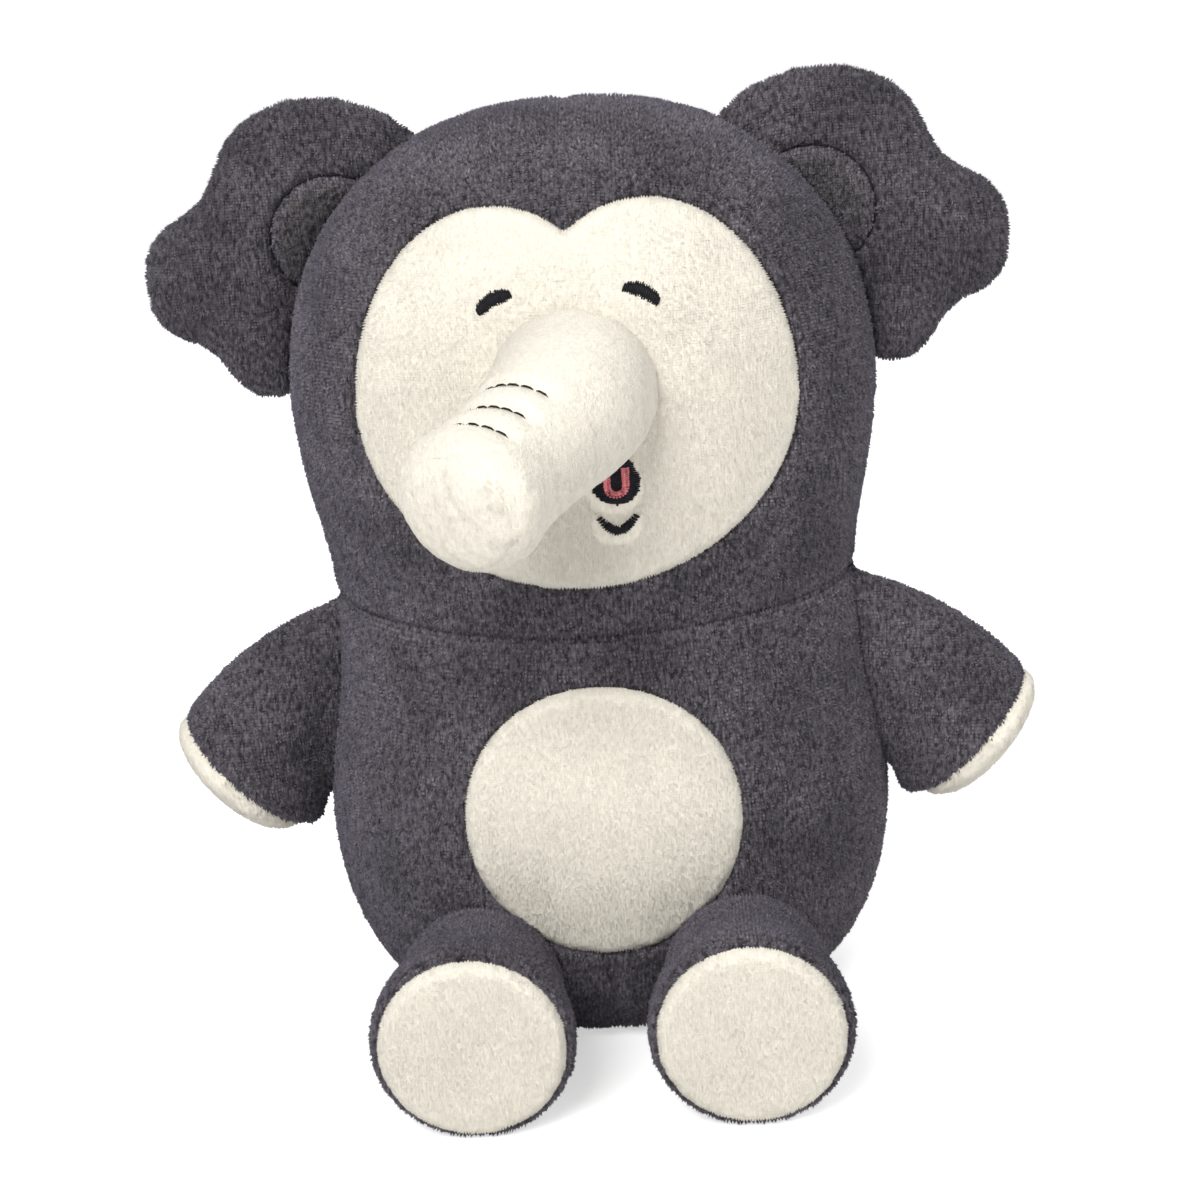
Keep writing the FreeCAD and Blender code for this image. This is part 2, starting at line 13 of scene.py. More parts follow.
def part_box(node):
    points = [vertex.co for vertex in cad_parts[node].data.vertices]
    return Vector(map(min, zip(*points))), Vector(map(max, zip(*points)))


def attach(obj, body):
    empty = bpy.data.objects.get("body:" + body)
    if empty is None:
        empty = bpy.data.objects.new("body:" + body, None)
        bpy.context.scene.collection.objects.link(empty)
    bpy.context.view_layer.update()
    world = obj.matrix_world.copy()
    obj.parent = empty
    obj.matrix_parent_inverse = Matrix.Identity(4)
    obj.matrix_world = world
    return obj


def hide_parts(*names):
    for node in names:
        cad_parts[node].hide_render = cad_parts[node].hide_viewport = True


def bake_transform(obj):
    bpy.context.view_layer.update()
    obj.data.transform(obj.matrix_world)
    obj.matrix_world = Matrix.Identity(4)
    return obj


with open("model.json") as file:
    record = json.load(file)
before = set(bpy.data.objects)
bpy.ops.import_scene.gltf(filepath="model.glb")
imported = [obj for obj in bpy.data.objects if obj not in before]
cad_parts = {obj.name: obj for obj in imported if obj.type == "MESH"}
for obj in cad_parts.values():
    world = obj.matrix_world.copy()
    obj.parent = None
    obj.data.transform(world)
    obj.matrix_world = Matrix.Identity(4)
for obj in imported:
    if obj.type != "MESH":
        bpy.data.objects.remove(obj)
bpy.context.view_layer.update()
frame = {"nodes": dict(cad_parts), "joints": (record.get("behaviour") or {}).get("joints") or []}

bl_info = {
    "name": "Stuffed elephant",
    "version": (1, 0, 0),
    "blender": (4, 5, 0),
    "location": "View3D > Sidebar > Elephant",
    "description": "Sews a seated stuffed elephant around its packed frame",
    "category": "Object",
}

MM = 0.001
NODES = frame["nodes"]
JOINTS = {joint["name"]: joint for joint in frame["joints"]}
FORMS = {}                # surfaces, the side's outline and the limbs' roots, for later pieces
SIDES = {"left": 1, "right": -1}
RIGHT, BACK, UP = Vector((1, 0, 0)), Vector((0, 1, 0)), Vector((0, 0, 1))

HEAD_LOW, HEAD_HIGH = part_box("head_left_panel")
BACK_LOW, BACK_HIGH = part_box("body_back_left_panel")
NECK_HEIGHT = HEAD_LOW.z
HEAD_TOP = HEAD_HIGH.z
SIDE_SEAM_Y = BACK_LOW.y
DEPTH_RATIO = BACK_HIGH.y / BACK_HIGH.x

CROWN = 2.28                                # exponent of the crown's curve; 2 is an ellipse
NOTCH = 5.6 * MM                            # depth of the notch between the face's two lobes
PATCH_SINK = 2.4 * MM                       # how far a cover gives way under a patch
TRUNK_ROUNDING = 6.5 * MM                   # radius of the edge of the trunk's tip
TRUNK_STRAIGHT = 8 * MM                     # where the trunk's root ends and its tube starts
CREASES = (18.0 * MM, 26.0 * MM, 33.5 * MM)  # how far along the trunk its creases lie
EAR_PATCH_RADIUS = 13.5 * MM
STITCH_PITCH = 0.42 * MM                    # distance between two satin stitches


# ---- settings -----------------------------------------------------------------------------
def length_property(name, description, millimetres):
    return bpy.props.FloatProperty(
        name=name, description=description, default=millimetres * MM, unit="LENGTH")


def colour_property(name, description, colour):
    return bpy.props.FloatVectorProperty(
        name=name, description=description, default=colour, subtype="COLOR")


class ElephantSizes(bpy.types.PropertyGroup):
    """Sizes of the plush and its sewing."""

    cage: length_property("Cage", "Edge of the coarse mesh that is inflated", 3.3)
    cloth: length_property("Cloth", "Thickness of the plush cover", 1.6)
    pile: length_property("Pile", "How uneven the tips of the grey pile are", 0.08)
    long_pile: length_property("Long pile", "How uneven the tips of the cream pile are", 0.05)
    pile_height: length_property("Pile height", "Length of the grey tufts", 0.8)
    long_pile_height: length_property("Long pile height", "Length of the cream tufts", 0.65)
    seam_depth: length_property("Seam depth", "How deep a seam is drawn in", 1.5)
    seam_width: length_property("Seam width", "Half the width of the valley along a seam", 1.5)
    thread: length_property("Thread", "Radius of the embroidery thread", 0.3)


class ElephantColours(bpy.types.PropertyGroup):
    """Colours of plush, thread and filling."""

    grey: colour_property("Grey plush", "Colour of head, body and limbs", (0.098, 0.089, 0.102))
    grey_sheen: colour_property("Grey sheen", "Light on the grey pile's tips", (0.56, 0.52, 0.70))
    lining: colour_property("Ear lining", "Colour of the patch inside the ear", (0.094, 0.087, 0.092))
    cream: colour_property("Cream plush", "Colour of face, belly, trunk, pads", (0.88, 0.83, 0.725))
    cream_sheen: colour_property("Cream sheen", "Light on the cream pile's tips", (1.0, 0.98, 0.94))
    black: colour_property("Black thread", "Colour of eyes, mouth and smile", (0.010, 0.010, 0.013))
    pink: colour_property("Pink thread", "Colour of the tongue", (0.66, 0.20, 0.22))
    filling: colour_property("Filling", "Colour of the polyester filling", (0.86, 0.86, 0.84))


def sizes():
    return bpy.context.scene.elephant_sizes


# ---- materials ----------------------------------------------------------------------------
def noise_node(tree, scale, detail, stretch=(1, 1, 1), turn=(0, 0, 0)):
    """Noise on Object coordinates, in features per metre, stretched along chosen axes."""
    place = tree.nodes.new("ShaderNodeTexCoord")
    mapping = tree.nodes.new("ShaderNodeMapping")
    mapping.inputs["Scale"].default_value = stretch
    mapping.inputs["Rotation"].default_value = turn
    pattern = tree.nodes.new("ShaderNodeTexNoise")
    pattern.inputs["Scale"].default_value = scale
    pattern.inputs["Detail"].default_value = detail
    tree.links.new(place.outputs["Object"], mapping.inputs["Vector"])
    tree.links.new(mapping.outputs["Vector"], pattern.inputs["Vector"])
    return pattern.outputs["Fac"]


def spread(tree, value, low, high, to_low, to_high):
    """Stretch a value's range."""
    node = tree.nodes.new("ShaderNodeMapRange")
    for name, number in (("From Min", low), ("From Max", high), ("To Min", to_low), ("To Max", to_high)):
        node.inputs[name].default_value = number
    tree.links.new(value, node.inputs["Value"])
    return node.outputs["Result"]


def combine(tree, operation, first, second):
    """Work two values into one."""
    node = tree.nodes.new("ShaderNodeMath")
    node.operation = operation
    tree.links.new(first, node.inputs[0])
    tree.links.new(second, node.inputs[1])
    return node.outputs[0]


def paint(tree, colour, shade):
    """A colour, made darker and lighter by a shade."""
    tint = tree.nodes.new("ShaderNodeVectorMath")
    tint.operation = "SCALE"
    tint.inputs[0].default_value = colour
    tree.links.new(shade, tint.inputs["Scale"])
    tree.links.new(tint.outputs["Vector"], tree.nodes["Principled BSDF"].inputs["Base Color"])


def emboss(tree, height, strength, distance):
    """Bumps that follow a height."""
    bump = tree.nodes.new("ShaderNodeBump")
    bump.inputs["Strength"].default_value = strength
    bump.inputs["Distance"].default_value = distance
    tree.links.new(height, bump.inputs["Height"])
    tree.links.new(bump.outputs["Normal"], tree.nodes["Principled BSDF"].inputs["Normal"])


def plush(tree, colour, sheen, sheen_weight, contrast, grain, fibre, nap, depth, relief):
    """Short-pile plush: brushed patches, fibres along the nap, a painted highlight on the tufts' tips,
    painted shade between the tufts and in the seams, and a soft sheen.

    depth is the painted shade between the tufts and the painted highlight at their tips, from which the
    painted shade in the seams follows; relief is the bump's strength."""
    brushed = noise_node(tree, 55, 4, turn=(0.3, 0.2, 0.5))
    tufts = noise_node(tree, 1250, 2, stretch=(1, 1, 0.55), turn=(0.0, 0.35, 0.0))
    fibres = noise_node(tree, 2300, 2, stretch=nap)
    # painted light: the tip attribute lightens the tuft tips and darkens the gaps between tufts and the
    # points near seams
    tip = tree.nodes.new("ShaderNodeAttribute")
    tip.attribute_name = "tip"
    between, tip_highlight = depth
    # painted shade in the seams, darker than the painted shade between the tufts
    seam_shade = max(0.0, between - (tip_highlight - between) / 1.2)
    shade = spread(tree, brushed, 0.36, 0.64, 1 - contrast, 1 + contrast)
    for ranges in (
            (tufts, 0.33, 0.67, 1 - grain, 1 + grain * 1.6),
            (fibres, 0.3, 0.7, 1 - fibre, 1 + fibre),
            (tip.outputs["Fac"], -1, 1.2, seam_shade, tip_highlight)):
        shade = combine(tree, "MULTIPLY", shade, spread(tree, *ranges))
    paint(tree, colour, shade)
    emboss(tree, combine(tree, "ADD", tufts, fibres), relief, 0.35 * MM)
    for name, value in (
            ("Roughness", 0.92), ("Specular IOR Level", 0.2), ("Sheen Weight", sheen_weight),
            ("Sheen Roughness", 0.42), ("Sheen Tint", (*sheen, 1))):
        tree.nodes["Principled BSDF"].inputs[name].default_value = value


def rayon(tree, colour, roughness):
    """Twisted rayon thread: fine ridges across a soft shine."""
    twist = noise_node(tree, 3000, 2, stretch=(1, 1, 0.35), turn=(0.2, 0.5, 0))
    patches = noise_node(tree, 700, 2)
    paint(tree, colour, combine(tree, "MULTIPLY", spread(tree, twist, 0.3, 0.7, 0.7, 1.4),
                                spread(tree, patches, 0.3, 0.7, 0.85, 1.15)))
    emboss(tree, twist, 0.6, 0.06 * MM)
    shader = tree.nodes["Principled BSDF"]
    shine = spread(tree, patches, 0.3, 0.7, roughness - 0.08, roughness + 0.08)
    tree.links.new(shine, shader.inputs["Roughness"])
    shader.inputs["Specular IOR Level"].default_value = 0.15


def loose_fibre(tree, colour):
    """Loose polyester fibre."""
    strands = noise_node(tree, 600, 5, stretch=(1, 0.3, 0.6), turn=(0.6, 0.3, 0.9))
    clumps = noise_node(tree, 90, 3)
    paint(tree, colour, combine(tree, "MULTIPLY", spread(tree, strands, 0.3, 0.7, 0.85, 1.05),
                                spread(tree, clumps, 0.3, 0.7, 0.9, 1.05)))
    emboss(tree, strands, 1.0, 1.0 * MM)
    tree.nodes["Principled BSDF"].inputs["Roughness"].default_value = 0.95


def slot_material(slot):
    """The material for one of the record's slots, made the first time it is asked for."""
    c = bpy.context.scene.elephant_colours
    recipes = {
        # the pair before the last number is the painted shade between the tufts and the painted highlight
        # at their tips
        "grey_plush": ("napped_grey_plush", plush, c.grey, c.grey_sheen, 0.2, 0.2, 0.62, 0.35,
                       (1, 1, 0.3), (0.62, 1.3), 0.9),
        "ear_lining_plush": ("napped_ear_lining", plush, c.lining, c.grey_sheen, 0.15, 0.12, 0.62, 0.35,
                             (0.4, 1, 0.6), (0.62, 1.25), 0.9),
        "cream_plush": ("napped_cream_plush", plush, c.cream, c.cream_sheen, 0.2, 0.02, 0.04, 0.04,
                        (1, 1, 0.25), (0.94, 1.03), 0.4),
        "black_thread": ("black_rayon", rayon, c.black, 0.45),
        "pink_thread": ("pink_rayon", rayon, c.pink, 0.45),
        "grey_thread": ("grey_rayon", rayon, c.lining, 0.5),
        "polyester_filling": ("loose_polyester", loose_fibre, c.filling),
    }
    name, build, *settings = recipes[slot]
    material = bpy.data.materials.get(name)
    if not material:
        material = bpy.data.materials.new(name)
        material.use_nodes = True
        build(material.node_tree, *settings)
    return material


# ---- mesh helpers -------------------------------------------------------------------------
def make_object(name, work):
    """A new object in the scene from a bmesh."""
    mesh = bpy.data.meshes.new(name)
    work.to_mesh(mesh)
    work.free()
    thing = bpy.data.objects.new(name, mesh)
    bpy.context.scene.collection.objects.link(thing)
    return thing


def mesh_of(*things):
    """A bmesh of some objects' meshes together."""
    work = bmesh.new()
    for thing in things:
        work.from_mesh(thing.data)
    return work


def discard(*things):
    for thing in things:
        mesh = thing.data
        bpy.data.objects.remove(thing)
        bpy.data.meshes.remove(mesh)


def bake_modifiers(thing):
    """Replace an object's mesh by what its modifiers make of it."""
    graph = bpy.context.evaluated_depsgraph_get()
    mesh = bpy.data.meshes.new_from_object(thing.evaluated_get(graph))
    thing.modifiers.clear()
    old = thing.data
    thing.data = mesh
    bpy.data.meshes.remove(old)


def remesh(thing, voxel):
    """An even mesh of the same shape."""
    modifier = thing.modifiers.new("even", "REMESH")
    modifier.mode = "VOXEL"
    modifier.voxel_size = voxel
    bake_modifiers(thing)


def refine(thing, levels):
    """Smooth subdivision."""
    modifier = thing.modifiers.new("smooth", "SUBSURF")
    modifier.levels = levels
    modifier.render_levels = levels
    bake_modifiers(thing)


def relax(thing, rounds):
    """Smooth away the steps of a coarse mesh."""
    work = mesh_of(thing)
    for _ in range(rounds):
        bmesh.ops.smooth_vert(
            work, verts=work.verts, factor=0.5, use_axis_x=True, use_axis_y=True, use_axis_z=True)
    work.to_mesh(thing.data)
    work.free()
    thing.data.update()


def points_tree(points):
    """A search tree of points."""
    tree = KDTree(len(points))
    for index, point in enumerate(points):
        tree.insert(point, index)
    tree.balance()
    return tree


def surface_tree(thing):
    """A search tree of an object's surface."""
    work = mesh_of(thing)
    tree = BVHTree.FromBMesh(work)
    work.free()
    return tree


def slice_points(thing, point, normal, thickness):
    """Points of a surface that lie in a thin slice around a plane."""
    return [v.co.copy() for v in thing.data.vertices if abs((v.co - point).dot(normal)) < thickness]


def inflate(thing, seams, reach, cap, pressure=4.0):
    """Stuff a cover: its seams hold while the cloth between them swells, by cap at most."""
    rest = [vertex.co.copy() for vertex in thing.data.vertices]
    tree = points_tree(seams)
    held = [i for i, point in enumerate(rest) if tree.find(point)[2] < reach]
    group = thing.vertex_groups.new(name="seams")
    group.add(held, 1.0, "REPLACE")
    enlarge = 10.0            # the cloth solver is steadier on a larger body
    for vertex in thing.data.vertices:
        vertex.co *= enlarge
    cloth = thing.modifiers.new("stuffing", "CLOTH")
    settings = cloth.settings
    settings.quality = 5
    settings.mass = 0.15
    settings.tension_stiffness = 12
    settings.compression_stiffness = 12
    settings.shear_stiffness = 4
    settings.bending_stiffness = 0.4
    settings.use_pressure = True
    settings.uniform_pressure_force = pressure
    settings.vertex_group_mass = group.name
    settings.effector_weights.gravity = 0
    cloth.collision_settings.use_collision = False
    last_frame = 20
    cloth.point_cache.frame_start = 1
    cloth.point_cache.frame_end = last_frame
    scene = bpy.context.scene
    for number in range(1, last_frame + 1):
        scene.frame_set(number)
    bake_modifiers(thing)
    for vertex, point in zip(thing.data.vertices, rest):
        step = vertex.co / enlarge - point
        if step.length > cap:
            step *= cap / step.length
        vertex.co = point + step
    thing.vertex_groups.clear()
    scene.frame_set(1)


def push(thing, step):
    """Move every point of a mesh by what step makes of its place and normal."""
    normals = [vertex.normal.copy() for vertex in thing.data.vertices]
    for vertex, normal in zip(thing.data.vertices, normals):
        vertex.co += step(vertex.co, normal)
    thing.data.update()


def draw_in(thing, seams, depth, width):
    """Draw the surface in along seams."""
    tree = points_tree(seams)

    def sunk(place, normal):
        distance = tree.find(place)[2]
        if distance >= 3 * width:
            return Vector()
        return -normal * depth * math.exp(-((distance / width) ** 2))

    push(thing, sunk)


def ruffle(thing, amount, seed):
    """Uneven tips of the pile, leaning along the nap."""
    offset = Vector((seed * 7.1, seed * 3.7, seed * 1.9))

    def raised(place, normal):
        place = place / (2.0 * MM) + offset
        height = noise.noise(place) * 0.6 + noise.noise(place * 2.3) * 0.7
        return (normal - UP * 0.25 * max(height, 0)) * height * amount

    push(thing, raised)


def raise_pile(thing, height, seed, outer, nap=-UP, brush=0.5, uneven=1.0, seams=None):
    """Short pile: every outer face rises to a tuft that leans along the nap and its neighbours.

    The tip attribute holds painted light: a painted highlight at each tuft's tip, lighter for taller tufts,
    and painted shade near the points of seams."""
    rng = random.Random(seed)
    work = mesh_of(thing)
    work.normal_update()
    faces = [face for face in work.faces if outer(face)]
    normals = [face.normal.copy() for face in faces]
    for edge in work.edges:
        if len({face.material_index for face in edge.link_faces}) > 1:
            edge.smooth = False
    # painted light for the shader: painted highlight at tuft tips, painted shade between tufts and near
    # seams
    shine = work.verts.layers.float.new("tip")
    # painted shade: points near seams get values below zero, which the shader darkens
    if seams:
        tree = points_tree(seams)
        for vertex in work.verts:
            distance = tree.find(vertex.co)[2]
            vertex[shine] = min(0.0, distance / (1.1 * MM) - 1.0)
    made = bmesh.ops.poke(work, faces=faces)
    for tip, normal in zip(made["verts"], normals):
        brushed = noise.noise_vector(tip.co / (9 * MM))
        tuft = 0.85 + uneven * (0.7 * rng.random() - 0.35 + 0.4 * noise.noise(tip.co / (1.6 * MM)))
        scatter = Vector((rng.random() - 0.5, rng.random() - 0.5, rng.random() - 0.5))
        lean = nap * 0.5 + brushed * brush + scatter * 0.9
        lean -= normal * lean.dot(normal)
        tip.co += (normal + lean * 0.7) * height * tuft
        # painted highlight: taller tufts get lighter tips
        tip[shine] = tuft
    for face in work.faces:
        face.material_index = 0
    work.to_mesh(thing.data)
    work.free()


def outside_cloth(face):
    return face.material_index == 0


def patch_front(face):
    return face.normal.y < -0.05


def clear_of(seams, reach):
    """A test for outer faces that lie further than reach from the points of some seams."""
    tree = points_tree(seams)

    def raised(face):
        return outside_cloth(face) and tree.find(face.calc_center_median())[2] > reach

    return raised


def panel(source, name, planes, cloth):
    """A piece of a cover, cut off beyond each plane, as cloth with a thickness."""
    work = mesh_of(source)
    for point, normal in planes:
        bmesh.ops.bisect_plane(
            work, geom=work.verts[:] + work.edges[:] + work.faces[:], dist=1e-7, plane_co=point,
            plane_no=normal, clear_outer=True)
    for face in work.faces:
        face.material_index = 0
    thing = make_object(name, work)
    thing.data.materials.append(None)
    thing.data.materials.append(None)
    modifier = thing.modifiers.new("cloth", "SOLIDIFY")
    modifier.thickness = cloth
    modifier.offset = -1
    modifier.use_rim = True
    modifier.material_offset = 1
    modifier.material_offset_rim = 1
    bake_modifiers(thing)
    return thing


def finish_piece(thing, slot, node, body, root=None):
    """Give a piece its slot's material, hide the frame's node that it stands for and parent it to the body
    it moves with.

    With a root, its start and its end, the root is only kept in FORMS for the body and the piece is not
    parented."""
    thing.data.materials.clear()
    thing.data.materials.append(slot_material(slot))
    thing.data.shade_smooth()
    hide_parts(node)
    if root:
        FORMS[f"{body}_root"] = root
        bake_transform(thing)
    else:
        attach(thing, body)


def copy_object(source, name):
    thing = source.copy()
    thing.data = source.data.copy()
    thing.name = name
    bpy.context.scene.collection.objects.link(thing)
    return thing


def side_cover(form, sign):
    """A copy of the left limb's cover, or its mirror image for the right side."""
    if sign > 0:
        return copy_object(form, "side")
    work = mesh_of(form)
    bmesh.ops.scale(work, vec=(-1, 1, 1), verts=work.verts)
    bmesh.ops.reverse_faces(work, faces=work.faces)
    return make_object("side", work)


def joint_place(name):
    joint = JOINTS[name]
    return Vector(joint["pos_m"]), Vector(joint["axis"]).normalized()


def limb_root(joint, sign, before, after):
    """Where a limb's root starts and ends, in millimetres before and after its hinge line."""
    hinge, line = joint_place(joint)
    out = Vector((sign * abs(line.z), 0, abs(line.x)))
    return hinge - out * before * MM, hinge + out * after * MM


def cover_form(name, nodes, voxel):
    """One closed skin around pieces of the frame."""
    thing = make_object(name, mesh_of(*(NODES[node] for node in nodes)))
    remesh(thing, voxel)
    return thing


def close_ends(work):
    """Cap the open ends of drawn-out rings and turn every face outwards."""
    bmesh.ops.holes_fill(work, edges=[edge for edge in work.edges if edge.is_boundary])
    bmesh.ops.recalc_face_normals(work, faces=work.faces)


def draw_out(work, rings, sides):
    """A skin drawn out over rings, each a matrix that places a unit circle."""
    verts = bmesh.ops.create_circle(work, cap_ends=True, radius=1.0, segments=sides)["verts"]
    face = verts[0].link_faces[0]
    bmesh.ops.transform(work, matrix=rings[0], verts=verts)
    placed = rings[0]
    for ring in rings[1:]:
        face = bmesh.ops.extrude_discrete_faces(work, faces=[face])["faces"][0]
        bmesh.ops.transform(work, matrix=ring @ placed.inverted(), verts=face.verts[:])
        placed = ring


def ringed_form(name, rings, voxel):
    """A closed, evenly meshed form over rings."""
    work = bmesh.new()
    draw_out(work, rings, 40)
    close_ends(work)
    thing = make_object(name, work)
    remesh(thing, voxel)
    relax(thing, 2)
    return thing


def placed_ring(centre, across, up, half_across, half_up):
    """The matrix that puts a unit circle at centre, with given half sizes along two directions."""
    facing = across.cross(up).normalized()
    matrix = Matrix.Identity(4)
    for column, vector in enumerate((across * half_across, up * half_up, facing, centre)):
        for row in range(3):
            matrix[row][column] = vector[row]
    return matrix


def tube(work, points, radius):
    """A closed round thread along points, thinner at its ends."""
    last = len(points) - 1
    rings = []
    for index, point in enumerate(points):
        ahead = points[min(index + 1, last)] - points[max(index - 1, 0)]
        ahead.normalize()
        side = ahead.orthogonal().normalized()
        size = radius * (0.55 if index in (0, last) else 1.0)
        rings.append(placed_ring(point, side, ahead.cross(side), size, size))
    draw_out(work, rings, 6)


def running_stitch(work, place, radius, low, high):
    """One stitch of thread, low at its ends and high between them.

    place gives the point on the cloth and the direction out of it at a share of the stitch."""
    points = []
    for step in range(5):
        point, out = place(step / 4)
        points.append(point + out * (low if step in (0, 4) else high))
    tube(work, points, radius)


def finish_thread(work, name, slot, node, body, root=None):
    """One piece of all the stitches in a bmesh."""
    close_ends(work)
    finish_piece(make_object(name, work), slot, node, body, root=root)


# ---- head and body ------------------------------------------------------------------------
def cad_side():
    """A function that gives the half width of head and body at a height, from the frame.

    The stuffing makes the crown a little fuller than an ellipse."""
    trees = {node: surface_tree(NODES[node]) for node in ("head_left_panel", "body_back_left_panel")}

    def turned_width(z):
        node = "head_left_panel" if z > NECK_HEIGHT else "body_back_left_panel"
        height = min(max(z, 0.05 * MM), HEAD_TOP - 0.02 * MM)
        hit = trees[node].ray_cast(Vector((2 * HEAD_HIGH.x, 0.05 * MM, height)), -RIGHT)[0]
        return hit.x if hit else 0.0

    heights = [NECK_HEIGHT + (HEAD_TOP - NECK_HEIGHT) * index / 200 for index in range(200)]
    widest = max(heights, key=turned_width)
    widest_half = turned_width(widest)

    def half_width(z):
        if z <= widest:
            return turned_width(z)
        rise = min((z - widest) / (HEAD_TOP - widest), 1.0)
        return widest_half * (1 - rise ** CROWN) ** (1 / CROWN)

    return half_width


def torso_point(x, z, front=True):
    """A point on the front or back of the stuffed form."""
    half = FORMS["half_width"](z)
    depth = DEPTH_RATIO * math.sqrt(max(0.0, half * half - x * x))
    return Vector((x, -depth if front else depth, z))


def face_outline():
    """The face patch's outline in the XZ plane: two lobes, a notch and a round jaw."""
    low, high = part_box("face_patch")
    side = high.x
    lobe_x = side * 0.33
    widest = low.z + (high.z - low.z) * 0.483
    notch = Vector((0, 0, high.z - NOTCH))
    lobe = Vector((lobe_x, 0, high.z))
    edge = Vector((side, 0, widest))
    chin = Vector((0, 0, low.z))
    pull = 0.5523             # makes a Bezier curve a quarter of an ellipse
    half = []
    half += interpolate_bezier(notch, notch + Vector((4, 0, 3.4)) * MM,
                               lobe - Vector((6, 0, 0)) * MM, lobe, 16)[:-1]
    half += interpolate_bezier(lobe, lobe + Vector((side - lobe_x, 0, 0)) * pull,
                               edge + Vector((0, 0, high.z - widest)) * pull, edge, 48)[:-1]
    half += interpolate_bezier(edge, edge - Vector((0, 0, widest - low.z)) * pull,
                               chin + Vector((side, 0, 0)) * pull, chin, 56)
    return half + [Vector((-p.x, 0, p.z)) for p in reversed(half[1:-1])]


def circle_outline(centre, radius, count=140):
    """A circle in the XZ plane."""
    points = []
    for index in range(count):
        angle = 2 * math.pi * index / count
        points.append(centre + Vector((math.cos(angle), 0, math.sin(angle))) * radius)
    return points


def belly_outline():
    low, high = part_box("belly_patch")
    return circle_outline(Vector((0, 0, (low.z + high.z) / 2)), (high.z - low.z) / 2)


def torso_seams():
    """Points along the seams of head and body: neck, sides and centre."""
    half_width = FORMS["half_width"]
    half = half_width(NECK_HEIGHT - 0.2 * MM)
    neck = []
    for index in range(480):
        angle = 2 * math.pi * index / 480
        neck.append(Vector((half * math.cos(angle), DEPTH_RATIO * half * math.sin(angle), NECK_HEIGHT)))
    sides = []
    centre = []
    step = 0.8 * MM
    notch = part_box("face_patch")[1].z - NOTCH
    belly_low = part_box("belly_patch")[0].z
    z = 2 * MM
    while z < HEAD_TOP:
        half = half_width(z)
        centre.append(torso_point(0, z, front=False))
        if z > notch or z < belly_low - 1 * MM:
            centre.append(torso_point(0, z))
        if z < NECK_HEIGHT:
            x = math.sqrt(max(0, half ** 2 - (SIDE_SEAM_Y / DEPTH_RATIO) ** 2))
            sides += [Vector((x, SIDE_SEAM_Y, z)), Vector((-x, SIDE_SEAM_Y, z))]
        z += step
    y = -12 * MM
    while y < 12 * MM:
        centre.append(Vector((0, y, HEAD_TOP)))
        y += step
    return neck, sides, centre


def stuffed_torso(seams):
    """The smooth stuffed form of head and body."""
    work = bmesh.new()
    count = 70
    points = [Vector((0, 0, 0))]
    for index in range(count + 1):
        z = HEAD_TOP * (1 - math.cos(math.pi * index / count)) / 2
        x = 0.0 if index == count else FORMS["half_width"](z)
        points.append(Vector((x, 0, z)))
    verts = [work.verts.new(point) for point in points]
    edges = [work.edges.new(pair) for pair in zip(verts, verts[1:])]
    bmesh.ops.spin(work, geom=verts + edges, cent=(0, 0, 0), axis=(0, 0, 1), dvec=(0, 0, 0),
                   angle=2 * math.pi, steps=128, use_merge=True)
    bmesh.ops.remove_doubles(work, verts=work.verts, dist=0.01 * MM)
    bmesh.ops.scale(work, vec=(1, DEPTH_RATIO, 1), verts=work.verts)
    bmesh.ops.recalc_face_normals(work, faces=work.faces)
    thing = make_object("torso_form", work)
    remesh(thing, sizes().cage)
    inflate(thing, seams, 3.0 * MM, 1.0 * MM)
    relax(thing, 4)
    refine(thing, 2)
    return thing


def encloses(outline, x, z):
    """Whether a place of the XZ plane lies inside an outline."""
    inside = False
    before = outline[-1]
    for point in outline:
        if (point.z > z) != (before.z > z):
            crossing = before.x + (point.x - before.x) * (z - before.z) / (point.z - before.z)
            if x < crossing:
                inside = not inside
        before = point
    return inside


def make_room(thing, outline):
    """Sink a cover's front under a patch that is sewn on it."""
    rim = points_tree(outline)
    low_x, high_x = min(p.x for p in outline), max(p.x for p in outline)
    low_z, high_z = min(p.z for p in outline), max(p.z for p in outline)
    for vertex in thing.data.vertices:
        x, y, z = vertex.co
        if y > 0 or not low_x < x < high_x or not low_z < z < high_z or not encloses(outline, x, z):
            continue
        share = min(rim.find(Vector((x, 0, z)))[2] / (2 * MM), 1.0)
        vertex.co += BACK * PATCH_SINK * share
    thing.data.update()


def neck_lift(point):
    """How far a point near the neck seam slides up the cover: most at the sides."""
    away = (point.z - NECK_HEIGHT) / (14 * MM)
    side = min(abs(point.x) / FORMS["half_width"](NECK_HEIGHT), 1.0)
    return Vector((0, 0, (1.4 + 2.0 * side * side) * MM * math.exp(-away * away)))


